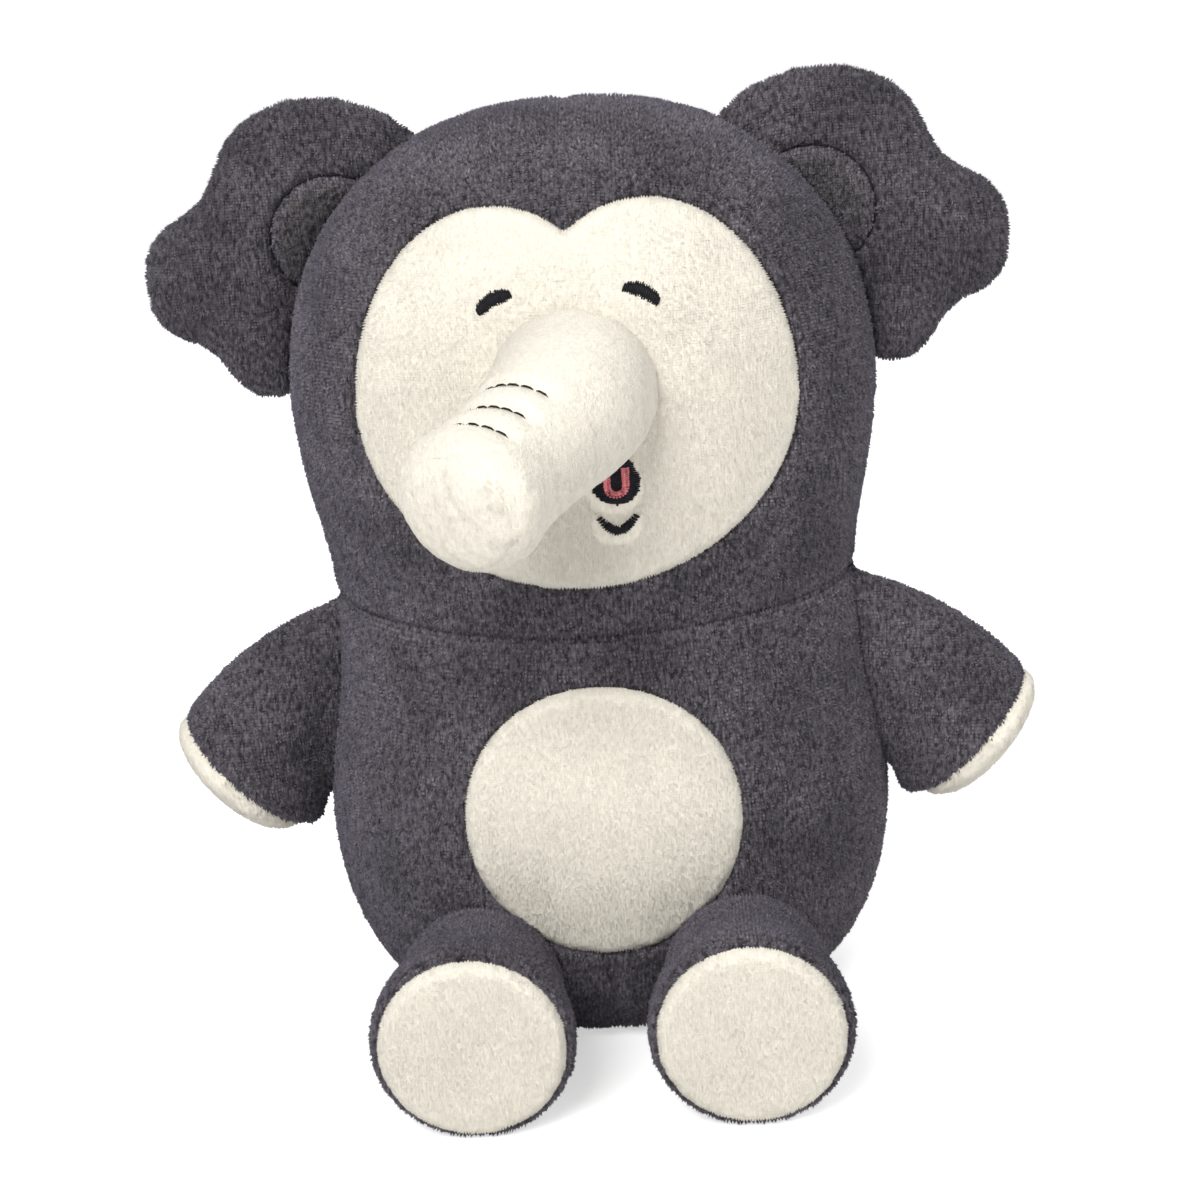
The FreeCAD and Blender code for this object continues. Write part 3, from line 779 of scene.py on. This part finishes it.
class ELEPHANT_OT_body(bpy.types.Operator):
    """Sew the grey plush panels of head and body"""

    bl_idname = "elephant.body"
    bl_label = "Head and body"

    def execute(self, context):
        s = sizes()
        FORMS["half_width"] = cad_side()
        neck, sides, centre = torso_seams()
        form = stuffed_torso(neck + sides + centre)
        FORMS["torso"] = surface_tree(form)
        draw_in(form, neck, s.seam_depth * 1.3, s.seam_width * 0.85)
        draw_in(form, sides + centre, s.seam_depth * 0.55, s.seam_width)
        outlines = (face_outline(), belly_outline())
        rims = [lay(p, FORMS["torso"]) for outline in outlines for p in outline]
        draw_in(form, rims, s.seam_depth * 0.8, s.seam_width)
        ruffle(form, s.pile, 1)
        for outline in outlines:
            make_room(form, outline)
        neck_at = UP * NECK_HEIGHT
        side_at = BACK * SIDE_SEAM_Y
        middle = Vector((0, 0, 0))
        lap = RIGHT * 0.35 * MM       # how far both head panels reach past the centre seam
        cuts = {
            "head_left_panel": [(neck_at, -UP), (-lap, -RIGHT)],
            "head_right_panel": [(neck_at, -UP), (lap, RIGHT)],
            "body_front_panel": [(neck_at, UP), (side_at, BACK)],
            "body_back_left_panel": [(neck_at, UP), (side_at, -BACK), (middle, -RIGHT)],
            "body_back_right_panel": [(neck_at, UP), (side_at, -BACK), (middle, RIGHT)],
        }
        sewn = [p + neck_lift(p) for p in neck]
        raised = clear_of(sewn + rims, 0.85 * MM)
        for node, planes in cuts.items():
            piece = panel(form, "plush_" + node, planes, s.cloth)
            for vertex in piece.data.vertices:
                vertex.co += neck_lift(vertex.co)
            # the pile gets painted shade near the neck seam and the rims of the face and belly patches
            raise_pile(piece, s.pile_height, 51 + len(node), raised, seams=sewn)
            finish_piece(piece, "grey_plush", node, "torso")
        discard(form)
        return {"FINISHED"}


# ---- patches ------------------------------------------------------------------------------
def lay(point, tree, proud=0.0):
    """Move a point of the XZ plane onto the front of a surface, standing proud of it."""
    hit, normal, _, _ = tree.ray_cast(Vector((point.x, -0.3, point.z)), BACK)
    if hit is None:
        hit, normal, _, _ = tree.find_nearest(Vector((point.x, 0, point.z)))
    if normal.y > 0:
        normal = -normal
    return hit + normal * proud


def flat_cushion(name, outline, thickness, voxel):
    """An even flat slab in the XZ plane with a given outline."""
    work = bmesh.new()
    verts = [work.verts.new(Vector((p.x, -thickness / 2, p.z))) for p in outline]
    made = bmesh.ops.extrude_face_region(work, geom=[work.faces.new(verts)])
    moved = [item for item in made["geom"] if isinstance(item, bmesh.types.BMVert)]
    bmesh.ops.translate(work, vec=(0, thickness, 0), verts=moved)
    bmesh.ops.recalc_face_normals(work, faces=work.faces)
    thing = make_object(name, work)
    remesh(thing, voxel)
    return thing


def sewn_patch(name, outline, tree, proud, sink):
    """A patch laid on a surface, its middle proud of it and its rim turned down into the seam."""
    voxel = 1.1 * MM
    shoulder = 2.2 * MM
    thing = flat_cushion(name, outline, 3.0 * MM, voxel)
    rim = points_tree([Vector((p.x, 0, p.z)) for p in outline])
    for vertex in thing.data.vertices:
        point = vertex.co.copy()
        edge, _, distance = rim.find(Vector((point.x, 0, point.z)))
        if distance < 0.75 * voxel:
            point = Vector((edge.x, point.y, edge.z))
            distance = 0.0
        share = min(distance / shoulder, 1.0)
        rise = -sink + (proud + sink) * math.sqrt(1 - (1 - share) ** 2)
        layer = rise if point.y < 0 else rise - 1.5 * MM - 1.0 * MM * share
        vertex.co = lay(point, tree, layer)
    thing.data.update()
    refine(thing, 1)
    return thing


class ELEPHANT_OT_patches(bpy.types.Operator):
    """Sew on the cream face and belly patches"""

    bl_idname = "elephant.patches"
    bl_label = "Face and belly patches"

    def execute(self, context):
        s = sizes()
        embroidered = ("left_eye", "right_eye", "mouth", "tongue", "smile_line")
        threads = [surface_tree(NODES[node]) for node in embroidered]

        def raised(face):
            place = face.calc_center_median()
            return patch_front(face) and not any(
                thread.find_nearest(place, 0.9 * MM)[0] is not None for thread in threads)

        for node, outline, seed in (("face_patch", face_outline(), 2), ("belly_patch", belly_outline(), 3)):
            piece = sewn_patch("plush_" + node, outline, FORMS["torso"], 0.5 * MM, 1.2 * MM)
            FORMS[node] = surface_tree(piece)
            ruffle(piece, s.long_pile, seed)
            raise_pile(piece, s.long_pile_height, seed, raised, brush=0.3, uneven=0.5)
            finish_piece(piece, "cream_plush", node, "torso")
        return {"FINISHED"}


# ---- stuffed limbs ------------------------------------------------------------------------
def tuck(thing, tree, reach, sink):
    """Draw a limb's root onto another surface and a little way into it."""
    nearest = min(tree.find_nearest(vertex.co)[3] for vertex in thing.data.vertices)
    for vertex in thing.data.vertices:
        spot, normal, _, distance = tree.find_nearest(vertex.co)
        if (vertex.co - spot).dot(normal) < 0:
            continue
        share = max(0.0, 1 - distance / reach)
        share = share * share * (3 - 2 * share)
        vertex.co -= normal * share * (nearest + sink)
    thing.data.update()


class ELEPHANT_OT_trunk(bpy.types.Operator):
    """Sew the trunk with its three creases"""

    bl_idname = "elephant.trunk"
    bl_label = "Trunk"

    def execute(self, context):
        s = sizes()
        pivot, _ = joint_place("trunk_swing")
        disc = [v.co.copy() for v in NODES["trunk_tip_disc"].data.vertices]
        axis = (sum(disc, Vector()) / len(disc) - pivot).normalized()
        side = axis.cross(UP).normalized()
        up = side.cross(axis).normalized()
        length = max((p - pivot).dot(axis) for p in disc)
        cover = surface_tree(NODES["trunk_cover"])

        def radius_at(along):
            centre = pivot + axis * along
            return (cover.ray_cast(centre + side * 0.06, -side)[0] - centre).length

        def spoke_at(degrees):
            turn = math.radians(degrees)
            return up * math.cos(turn) + side * math.sin(turn)

        face_y = lay(pivot, FORMS["torso"]).y
        face_at = Vector((pivot.x, face_y + 3 * MM, pivot.z))
        root_radius = radius_at(1.5 * MM)
        bend = interpolate_bezier(
            face_at, face_at - BACK * 7 * MM, pivot + axis * 1 * MM, pivot + axis * TRUNK_STRAIGHT, 9)
        rings = []
        for index, centre in enumerate(bend):
            ahead = bend[min(index + 1, 8)] - bend[max(index - 1, 0)]
            across = ahead.cross(UP).normalized()
            size = root_radius * (1.16 - 0.16 * (index / 8) ** 0.7)
            rings.append(placed_ring(centre, across, across.cross(ahead).normalized(), size, size))
        straight = length - TRUNK_ROUNDING
        for index in range(1, 13):
            along = TRUNK_STRAIGHT + (straight - TRUNK_STRAIGHT) * index / 12
            size = radius_at(along - 0.3 * MM)
            size *= 1 + 0.05 * math.exp(-(((along - 40 * MM) / (5 * MM)) ** 2))
            rings.append(placed_ring(pivot + axis * along, side, up, size, size))
        tip = radius_at(straight - 1 * MM)
        for degrees in (25, 50, 70, 90):
            turn = math.radians(degrees)
            along = straight + TRUNK_ROUNDING * math.sin(turn)
            size = tip - TRUNK_ROUNDING * (1 - math.cos(turn))
            rings.append(placed_ring(pivot + axis * along, side, up, size, size))
        form = ringed_form("trunk_form", rings, 2.3 * MM)

        seam_at = pivot + axis * (length - 2 * MM)
        seam_turn = math.asin(1 - 2 * MM / TRUNK_ROUNDING)
        seam_radius = tip - TRUNK_ROUNDING * (1 - math.cos(seam_turn))
        seam = [seam_at + spoke_at(degrees) * seam_radius for degrees in range(0, 360, 5)]
        creases = []
        for along in CREASES:
            for degrees in range(-34, 90, 3):
                creases.append(pivot + axis * along + spoke_at(degrees) * radius_at(along))
        root_ring = slice_points(form, face_at, BACK, 3.5 * MM)
        inflate(form, creases + seam + root_ring, 1.6 * MM, 0.9 * MM)
        refine(form, 2)
        draw_in(form, creases, 1.4 * MM, 1.7 * MM)
        creased = surface_tree(form)
        draw_in(form, seam, 0.3 * MM, 0.9 * MM)
        ruffle(form, s.long_pile * 0.4, 4)
        root = (Vector((pivot.x, face_y + 0.5 * MM, pivot.z)), pivot - BACK * 9 * MM)
        piece = panel(form, "plush_trunk_cover", [(seam_at, axis)], s.cloth)
        raise_pile(piece, s.long_pile_height * 0.55, 61, clear_of(creases, 2.4 * MM), axis, 0.25, 0.4)
        finish_piece(piece, "cream_plush", "trunk_cover", "trunk", root)
        piece = panel(form, "plush_trunk_tip_disc", [(seam_at, -axis)], s.cloth)
        raise_pile(piece, s.long_pile_height * 0.5, 62, outside_cloth, brush=0.2, uneven=0.4)
        finish_piece(piece, "cream_plush", "trunk_tip_disc", "trunk")
        discard(form)

        work = bmesh.new()
        for row, along in enumerate(CREASES):
            for index in range(9):
                middle = index * 13.5 - 28 + 1.2 * math.sin(row * 2 + index)

                def place(share):
                    spoke = spoke_at(middle + (share - 0.5) * 11.5)
                    return creased.ray_cast(pivot + axis * along + spoke * 0.05, -spoke)[0], spoke

                running_stitch(work, place, 0.2 * MM, 0.3 * MM, 0.5 * MM)
        finish_thread(work, "trunk_stitching", "black_thread", "trunk_stitches", "trunk")
        return {"FINISHED"}


class ELEPHANT_OT_ears(bpy.types.Operator):
    """Sew the three-lobed ears with their stitched inner patches"""

    bl_idname = "elephant.ears"
    bl_label = "Ears"

    def execute(self, context):
        parts = ("front_panel", "back_panel", "inner_patch", "filling")
        form = cover_form("ear_form", [f"left_ear_{part}" for part in parts], 1.3 * MM)
        relax(form, 6)
        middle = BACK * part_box("left_ear_back_panel")[0].y
        inflate(form, slice_points(form, middle, BACK, 0.5 * MM), 1.6 * MM, 1.4 * MM, 5.0)
        tuck(form, FORMS["torso"], 7 * MM, 1.8 * MM)
        refine(form, 1)
        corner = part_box("left_ear_stitching")[1]
        inset = EAR_PATCH_RADIUS + 0.6 * MM
        for word, sign in SIDES.items():
            centre = Vector(((corner.x - inset) * sign, 0, corner.z - inset))
            self.sew(f"{word}_ear", sign, side_cover(form, sign), centre, middle)
        discard(form)
        return {"FINISHED"}

    def sew(self, ear, sign, side, centre, middle):
        """Cut one ear's panels, lay its inner patch in them and stitch round the patch."""
        s = sizes()
        half_width = FORMS["half_width"]
        root = limb_root(ear + "_flap", sign, 2.5, 9)
        smooth = surface_tree(side)
        circle = circle_outline(centre, EAR_PATCH_RADIUS, 240)
        free = [p for p in circle if abs(p.x) > half_width(p.z) + 0.5 * MM]
        arc = [lay(p, smooth) for p in free]
        draw_in(side, arc, 1.0 * MM, 1.1 * MM)
        grooved = surface_tree(side)
        ruffle(side, s.pile, 11 + sign)
        for node, normal in (("front_panel", BACK), ("back_panel", -BACK)):
            piece = panel(side, f"plush_{ear}_{node}", [(middle, normal)], s.cloth * 0.8)
            # the pile gets painted shade along the stitched arc of the inner patch
            raise_pile(piece, s.pile_height, 63, clear_of(arc, 0.9 * MM), seams=arc)
            finish_piece(piece, "grey_plush", f"{ear}_{node}", ear, root)
        discard(side)

        under = 1.5 * MM              # how far the patch reaches under the head's cover
        inside = circle_outline(centre, EAR_PATCH_RADIUS - 0.5 * MM, 200)
        kept = [abs(p.x) > half_width(p.z) - under for p in inside]
        first = next(i for i in range(200) if kept[i] and not kept[i - 1])
        order = [(first + step) % 200 for step in range(200)]
        outline = [inside[index] for index in order if kept[index]]
        z_from, z_to = outline[-1].z, outline[0].z
        for step in range(1, 30):
            z = z_from + (z_to - z_from) * step / 30
            outline.append(Vector((sign * (half_width(z) - under), 0, z)))
        patch = sewn_patch(f"plush_{ear}_inner_patch", outline, grooved, 0.35 * MM, 0.8 * MM)
        ruffle(patch, s.pile * 0.7, 21 + sign)
        raise_pile(patch, s.pile_height, 64, patch_front)
        finish_piece(patch, "ear_lining_plush", ear + "_inner_patch", ear, root)

        work = bmesh.new()
        count = max(3, int(len(free) * 2 * math.pi * EAR_PATCH_RADIUS / 240 / (3.4 * MM)))
        jump = max(range(len(free)), key=lambda i: (free[i] - free[i - 1]).length)
        arc = [lay(p, grooved) for p in free[jump:] + free[:jump]]
        last = len(arc) - 1
        for index in range(count):

            def place(share):
                spot = (index + 0.95 * share) * last / count
                return arc[int(spot)].lerp(arc[min(int(spot) + 1, last)], spot - int(spot)), -BACK

            running_stitch(work, place, 0.24 * MM, 0.3 * MM, 0.6 * MM)
        finish_thread(work, ear + "_stitches", "black_thread", ear + "_stitching", ear, root)


class ELEPHANT_OT_arms(bpy.types.Operator):
    """Sew the padded arms with their cream hand pads"""

    bl_idname = "elephant.arms"
    bl_label = "Arms"

    hand_tilt: bpy.props.FloatProperty(
        name="Hand tilt", description="Angle between the hand pad's plane and the vertical",
        default=math.radians(42), unit="ROTATION")

    def execute(self, context):
        s = sizes()
        low, line = joint_place("left_arm_swing")
        high = low + line * (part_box("left_arm_front_panel")[1].z - low.z) / line.z
        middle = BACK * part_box("left_arm_back_panel")[0].y
        facing = Vector((math.cos(self.hand_tilt), 0, -math.sin(self.hand_tilt)))
        upward = Vector((math.sin(self.hand_tilt), 0, math.cos(self.hand_tilt)))
        pad = [v.co.copy() for v in NODES["left_hand_pad"].data.vertices]
        depth = min(p.dot(facing) for p in pad)
        bulge = max(p.dot(facing) for p in pad) - depth
        pad_low = min(p.dot(upward) for p in pad)
        pad_high = max(p.dot(upward) for p in pad)
        half_high = (pad_high - pad_low) / 2
        half_deep = (max(p.y for p in pad) - min(p.y for p in pad)) / 2
        end = facing * depth + upward * (pad_low + pad_high) / 2
        end.y = middle.y
        root = (low + high) / 2
        root_half = (high - low).length / 2
        root_deep = 5.0 * MM
        root_tilt = math.atan2(line.x, line.z)
        rings = []
        for index in range(-2, 11):
            share = index / 10
            ahead = max(share, 0)
            tilt = root_tilt + (self.hand_tilt - root_tilt) * ahead
            tall = root_half + (half_high - root_half) * ahead
            tall *= 1 + 0.2 * ahead * (1 - ahead)
            deep = root_deep + (half_deep - root_deep) * (1 - (1 - ahead) ** 1.5)
            up = Vector((math.sin(tilt), 0, math.cos(tilt)))
            rings.append(placed_ring(root.lerp(end, share), BACK, up, deep, tall))
        for degrees in (15, 30, 45, 60, 75, 86):
            turn = math.radians(degrees)
            size = math.cos(turn)
            centre = end + facing * bulge * math.sin(turn)
            rings.append(placed_ring(centre, BACK, upward, half_deep * size, half_high * size))
        form = ringed_form("arm_form", rings, 1.6 * MM)
        depth -= 2.0 * MM             # the pad's seam lies a little way up the arm

        def seams(thickness):
            panels = slice_points(form, middle, BACK, thickness)
            return ([p for p in panels if p.dot(facing) < depth],
                    slice_points(form, facing * depth, facing, thickness))

        sides, ring = seams(0.8 * MM)
        inflate(form, sides + ring, 1.8 * MM, 1.2 * MM)
        refine(form, 1)
        sides, ring = seams(0.45 * MM)
        draw_in(form, sides, 0.7 * MM, 1.2 * MM)
        draw_in(form, ring, 1.0 * MM, 1.1 * MM)
        for word, sign in SIDES.items():
            arm = f"{word}_arm"
            side = side_cover(form, sign)
            limits = limb_root(arm + "_swing", sign, 0, 12)
            face = Vector((facing.x * sign, 0, facing.z))
            at = face * depth
            grey = copy_object(side, "grey")
            ruffle(grey, s.pile, 31 + sign)
            ruffle(side, s.long_pile, 33 + sign)
            for node, normal in (("front_panel", BACK), ("back_panel", -BACK)):
                piece = panel(grey, f"plush_{arm}_{node}", [(middle, normal), (at, face)], s.cloth)
                raise_pile(piece, s.pile_height, 67, outside_cloth)
                finish_piece(piece, "grey_plush", f"{arm}_{node}", arm, limits)
            piece = panel(side, f"plush_{word}_hand_pad", [(at - face * 0.4 * MM, -face)], s.cloth)
            raise_pile(piece, s.long_pile_height, 68, outside_cloth, brush=0.3, uneven=0.5)
            finish_piece(piece, "cream_plush", f"{word}_hand_pad", arm)
            discard(side, grey)
        discard(form)
        return {"FINISHED"}


class ELEPHANT_OT_legs(bpy.types.Operator):
    """Sew the legs with their cream soles"""

    bl_idname = "elephant.legs"
    bl_label = "Legs"

    def execute(self, context):
        s = sizes()
        form = cover_form("leg_form", ["left_leg_cover", "left_sole_pad", "left_leg_filling"], 1.5 * MM)
        relax(form, 2)
        low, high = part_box("left_sole_pad")
        centre = Vector(((low.x + high.x) / 2, 0, (low.z + high.z) / 2))
        radius = (high.x - low.x) / 2
        ring = [p + BACK * (low.y + 1.2 * MM) for p in circle_outline(centre, radius, 90)]
        under = [p for p in slice_points(form, centre, RIGHT, 0.8 * MM) if p.z < centre.z]
        inflate(form, ring + under, 2.4 * MM, 1.0 * MM)
        refine(form, 1)
        for word, sign in SIDES.items():
            leg = f"{word}_leg"
            side = side_cover(form, sign)
            middle = Vector((centre.x * sign, 0, centre.z))
            tree = surface_tree(side)
            outline = circle_outline(middle, radius)
            draw_in(side, [lay(p, tree) for p in outline], 0.9 * MM, 1.2 * MM)
            ruffle(side, s.pile, 41 + sign)
            piece = panel(side, f"plush_{leg}_cover", [], s.cloth)

            def raised(face):
                spot = face.calc_center_median()
                across = math.hypot(spot.x - middle.x, spot.z - middle.z)
                return outside_cloth(face) and (spot.y > low.y + 5 * MM or across > radius + 0.3 * MM)

            raise_pile(piece, s.pile_height, 65, raised)
            hinge, _ = joint_place(leg + "_swing")
            root = (hinge + BACK * 10 * MM, hinge - BACK * 8 * MM)
            finish_piece(piece, "grey_plush", leg + "_cover", leg, root)
            sole = sewn_patch(f"plush_{word}_sole_pad", outline, tree, 0.9 * MM, 0.8 * MM)
            ruffle(sole, s.long_pile * 1.15, 43 + sign)
            raise_pile(sole, s.long_pile_height, 66, patch_front, brush=0.3, uneven=0.5)
            finish_piece(sole, "cream_plush", f"{word}_sole_pad", leg)
            discard(side)
        discard(form)
        return {"FINISHED"}


# ---- embroidery ---------------------------------------------------------------------------
def satin(work, pairs, tree, rng, jag, radius, lift):
    """Satin stitches between pairs of points of the XZ plane, arched over a surface."""
    for start, end in pairs:
        way = (end - start).normalized()
        first = start - way * rng.uniform(-0.2, 1.0) * jag
        last = end + way * rng.uniform(-0.2, 1.0) * jag
        points = []
        for step in range(5):
            share = step / 4
            rise = lift * (0.35 + 0.65 * math.sin(math.pi * share) ** 0.6)
            points.append(lay(first.lerp(last, share), tree, rise - 0.1 * MM))
        tube(work, points, radius * rng.uniform(0.9, 1.1))


def motif_box(node):
    """The centre of an embroidered motif, its half width, and its lower and upper edge.

    The motifs sit a little higher on the stuffed face than on the flat one."""
    low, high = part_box(node)
    rise = 1.5 * MM
    bottom, top = low.z + rise, high.z + rise
    return Vector(((low.x + high.x) / 2, 0, (bottom + top) / 2)), (high.x - low.x) / 2, bottom, top


def eye_pairs(node, sign, slant):
    """A slanting arch with blunt ends."""
    centre = motif_box(node)[0]
    long_way = Vector((sign * math.cos(slant), 0, -math.sin(slant)))
    short_way = Vector((sign * math.sin(slant), 0, math.cos(slant)))
    length = 7.1 * MM
    thick = 2.6 * MM
    count = int(length / STITCH_PITCH)
    pairs = []
    for index in range(count + 1):
        share = index / count
        arch = 0.62 + 0.38 * math.sin(math.pi * share) ** 0.7
        base = centre + long_way * (share - 0.5) * length - short_way * thick * 0.5
        base += short_way * 0.25 * MM * math.sin(math.pi * share)
        pairs.append((base, base + short_way * thick * arch))
    return pairs


def mouth_pairs():
    """A drop, narrow at the top."""
    centre, half, bottom, top = motif_box("mouth")
    count = int((top - bottom) / STITCH_PITCH)
    round_from = 0.6              # share of the length where the drop is widest
    pairs = []
    for index in range(count + 1):
        share = index / count
        if share < round_from:
            wide = half * (0.42 + 0.58 * math.sin(share / round_from * math.pi / 2))
        else:
            wide = half * math.sqrt(max(0.0, 1 - ((share - round_from) / (1 - round_from)) ** 2))
        z = top - share * (top - bottom)
        pairs.append((Vector((centre.x - wide, 0, z)), Vector((centre.x + wide, 0, z - 0.3 * MM))))
    return pairs


def tongue_pairs():
    """Two arms, one a little shorter, joined by half a ring below."""
    centre, half, bottom, top = motif_box("tongue")
    centre.z = bottom + half
    inner = half * 0.36
    pairs = []
    for arm, shorter in ((-1, 1.4 * MM), (1, 0.0)):
        z = top - shorter
        while z > centre.z:
            pairs.append((Vector((centre.x + arm * inner, 0, z)), Vector((centre.x + arm * half, 0, z))))
            z -= STITCH_PITCH
    for index in range(13):
        angle = -math.pi * index / 12
        way = Vector((math.cos(angle), 0, math.sin(angle)))
        pairs.append((centre + way * inner, centre + way * half))
    return pairs


def smile_pairs():
    """A hanging curve, a little thinner at its ends."""
    centre, half, bottom, top = motif_box("smile_line")
    half *= 0.87
    thick = 1.7 * MM
    sag = (top - bottom) - thick
    count = int(2 * half * 1.15 / STITCH_PITCH)
    pairs = []
    for index in range(count + 1):
        share = 2 * index / count - 1
        point = Vector((centre.x + share * half, 0, bottom + thick / 2 + sag * share * share))
        across = Vector((-2 * sag * share / half, 0, 1)).normalized()
        wide = thick / 2 * (0.75 + 0.25 * math.cos(share * math.pi / 2))
        pairs.append((point - across * wide, point + across * wide))
    return pairs


class ELEPHANT_OT_embroidery(bpy.types.Operator):
    """Embroider eyes, mouth, tongue and smile, and close the back seam"""

    bl_idname = "elephant.embroidery"
    bl_label = "Embroidery"

    eye_slant: bpy.props.FloatProperty(
        name="Eye slant", description="How far the outer end of an eye lies below its inner end",
        default=math.radians(26), unit="ROTATION")

    def execute(self, context):
        rng = random.Random(7)
        low_lift = 0.75 * MM
        motifs = []
        for word, sign in SIDES.items():
            eye = f"{word}_eye"
            pairs = eye_pairs(eye, sign, self.eye_slant)
            motifs.append((eye + "_stitches", "black_thread", eye, pairs, 0.3 * MM, low_lift))
        motifs += [
            ("mouth_stitches", "black_thread", "mouth", mouth_pairs(), 0.45 * MM, low_lift),
            ("tongue_stitches", "pink_thread", "tongue", tongue_pairs(), 0.1 * MM, 1.3 * MM),
            ("smile_stitches", "black_thread", "smile_line", smile_pairs(), 0.25 * MM, low_lift),
        ]
        for name, slot, node, pairs, jag, lift in motifs:
            work = bmesh.new()
            satin(work, pairs, FORMS["face_patch"], rng, jag, sizes().thread, lift)
            finish_thread(work, name, slot, node, "torso")

        low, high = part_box("closing_stitches")
        work = bmesh.new()
        for index in range(8):
            z = low.z + (high.z - low.z) * (index + 0.5) / 8
            lean = 0.9 * MM if index % 2 else -0.9 * MM

            def place(share):
                point = torso_point((share - 0.5) * 4.2 * MM, z + (share - 0.5) * lean, front=False)
                return FORMS["torso"].find_nearest(point)[:2]

            running_stitch(work, place, 0.3 * MM, 0.15 * MM, 0.3 * MM)
        finish_thread(work, "closing_seam_stitches", "grey_thread", "closing_stitches", "torso")
        return {"FINISHED"}


class ELEPHANT_OT_filling(bpy.types.Operator):
    """Give the polyester filling its fibre, and remake each limb's filling as a piece with its limb's root
    kept
    """

    bl_idname = "elephant.filling"
    bl_label = "Filling"

    def execute(self, context):
        body_filling = NODES["torso_filling"].data
        body_filling.materials.clear()
        body_filling.materials.append(slot_material("polyester_filling"))
        for node in [name for name in NODES if name.endswith("_filling") and name != "torso_filling"]:
            body = node.removesuffix("_filling")
            thing = cover_form(f"{body}_stuffing", [node], 1.5 * MM)
            push(thing, lambda place, normal: -normal * 0.5 * MM)
            finish_piece(thing, "polyester_filling", node, body, root=FORMS[f"{body}_root"])
        return {"FINISHED"}


# ---- stage --------------------------------------------------------------------------------
class ELEPHANT_OT_stage(bpy.types.Operator):
    """Set the floor, the lights and the camera"""

    bl_idname = "elephant.stage"
    bl_label = "Stage"

    def execute(self, context):
        scene = context.scene
        work = bmesh.new()
        bmesh.ops.create_grid(work, x_segments=8, y_segments=160, size=6.0)
        flat = 1.2                # the floor is flat up to here, then sweeps up behind the toy
        for vertex in work.verts:
            beyond = vertex.co.y - flat
            if beyond > 0:
                turn = min(beyond, math.pi / 2)
                vertex.co.y = flat + math.sin(turn)
                vertex.co.z = 1 - math.cos(turn) + max(0.0, beyond - math.pi / 2)
        floor = make_object("floor", work)
        floor.data.shade_smooth()
        material = bpy.data.materials.new("pale_floor")
        material.use_nodes = True
        tree = material.node_tree
        paint(tree, (0.93, 0.93, 0.93), spread(tree, noise_node(tree, 30, 4), 0.3, 0.7, 0.99, 1.01))
        shader = tree.nodes["Principled BSDF"]
        shader.inputs["Roughness"].default_value = 0.8
        shader.inputs["Emission Color"].default_value = (1, 1, 1, 1)
        path = tree.nodes.new("ShaderNodeLightPath")
        seen = spread(tree, path.outputs["Is Camera Ray"], 0, 1, 0.0, 0.55)
        tree.links.new(seen, shader.inputs["Emission Strength"])
        floor.data.materials.append(material)

        world = bpy.data.worlds.new("studio")
        world.use_nodes = True
        tree = world.node_tree
        background = tree.nodes["Background"]
        background.inputs["Color"].default_value = (1, 1, 1, 1)
        path = tree.nodes.new("ShaderNodeLightPath")
        strength = spread(tree, path.outputs["Is Camera Ray"], 0, 1, 0.36, 1.2)
        tree.links.new(strength, background.inputs["Strength"])
        scene.world = world
        scene.view_settings.view_transform = "Standard"
        target = UP * 0.1
        lights = (
            ("key", (-0.3, -0.9, 0.85), 0.5, 11.5),
            ("fill", (0.9, -0.5, 0.6), 0.6, 3.2),
            ("back", (0.3, 0.7, 0.9), 0.6, 3.0),
        )
        for name, place, size, power in lights:
            light = bpy.data.lights.new(name, "AREA")
            light.size = size
            light.energy = power
            thing = bpy.data.objects.new(name, light)
            thing.location = place
            thing.rotation_euler = (target - Vector(place)).to_track_quat("-Z", "Y").to_euler()
            scene.collection.objects.link(thing)

        camera = bpy.data.cameras.new("camera")
        camera.sensor_width = 36
        camera.lens = 67.5
        camera.shift_x = 0.0046
        camera.shift_y = -0.0375
        azimuth, elevation, roll = (math.radians(degrees) for degrees in (2.4, 15.8, 3.9))
        offset = Vector((
            math.sin(azimuth) * math.cos(elevation),
            -math.cos(azimuth) * math.cos(elevation),
            math.sin(elevation),
        ))
        look = (-offset).to_track_quat("-Z", "Y").to_matrix()
        matrix = (look @ Matrix.Rotation(-roll, 3, "Z")).to_4x4()
        matrix.translation = target + offset * 0.5
        thing = bpy.data.objects.new("camera", camera)
        thing.matrix_world = matrix
        scene.collection.objects.link(thing)
        scene.camera = thing
        return {"FINISHED"}


class ELEPHANT_PT_panel(bpy.types.Panel):
    """Steps that sew the elephant"""

    bl_label = "Elephant"
    bl_space_type = "VIEW_3D"
    bl_region_type = "UI"
    bl_category = "Elephant"

    def draw(self, context):
        for operator in OPERATORS:
            self.layout.operator(operator.bl_idname)


OPERATORS = (
    ELEPHANT_OT_body,
    ELEPHANT_OT_patches,
    ELEPHANT_OT_trunk,
    ELEPHANT_OT_ears,
    ELEPHANT_OT_arms,
    ELEPHANT_OT_legs,
    ELEPHANT_OT_embroidery,
    ELEPHANT_OT_filling,
    ELEPHANT_OT_stage,
)
CLASSES = (ElephantSizes, ElephantColours, *OPERATORS, ELEPHANT_PT_panel)


def register():
    for cls in CLASSES:
        bpy.utils.register_class(cls)
    bpy.types.Scene.elephant_sizes = bpy.props.PointerProperty(type=ElephantSizes)
    bpy.types.Scene.elephant_colours = bpy.props.PointerProperty(type=ElephantColours)


def unregister():
    del bpy.types.Scene.elephant_colours
    del bpy.types.Scene.elephant_sizes
    for cls in reversed(CLASSES):
        bpy.utils.unregister_class(cls)


def main():
    register()
    for operator in OPERATORS:
        group, name = operator.bl_idname.split(".")
        getattr(getattr(bpy.ops, group), name)()


if __name__ == "__main__":
    main()
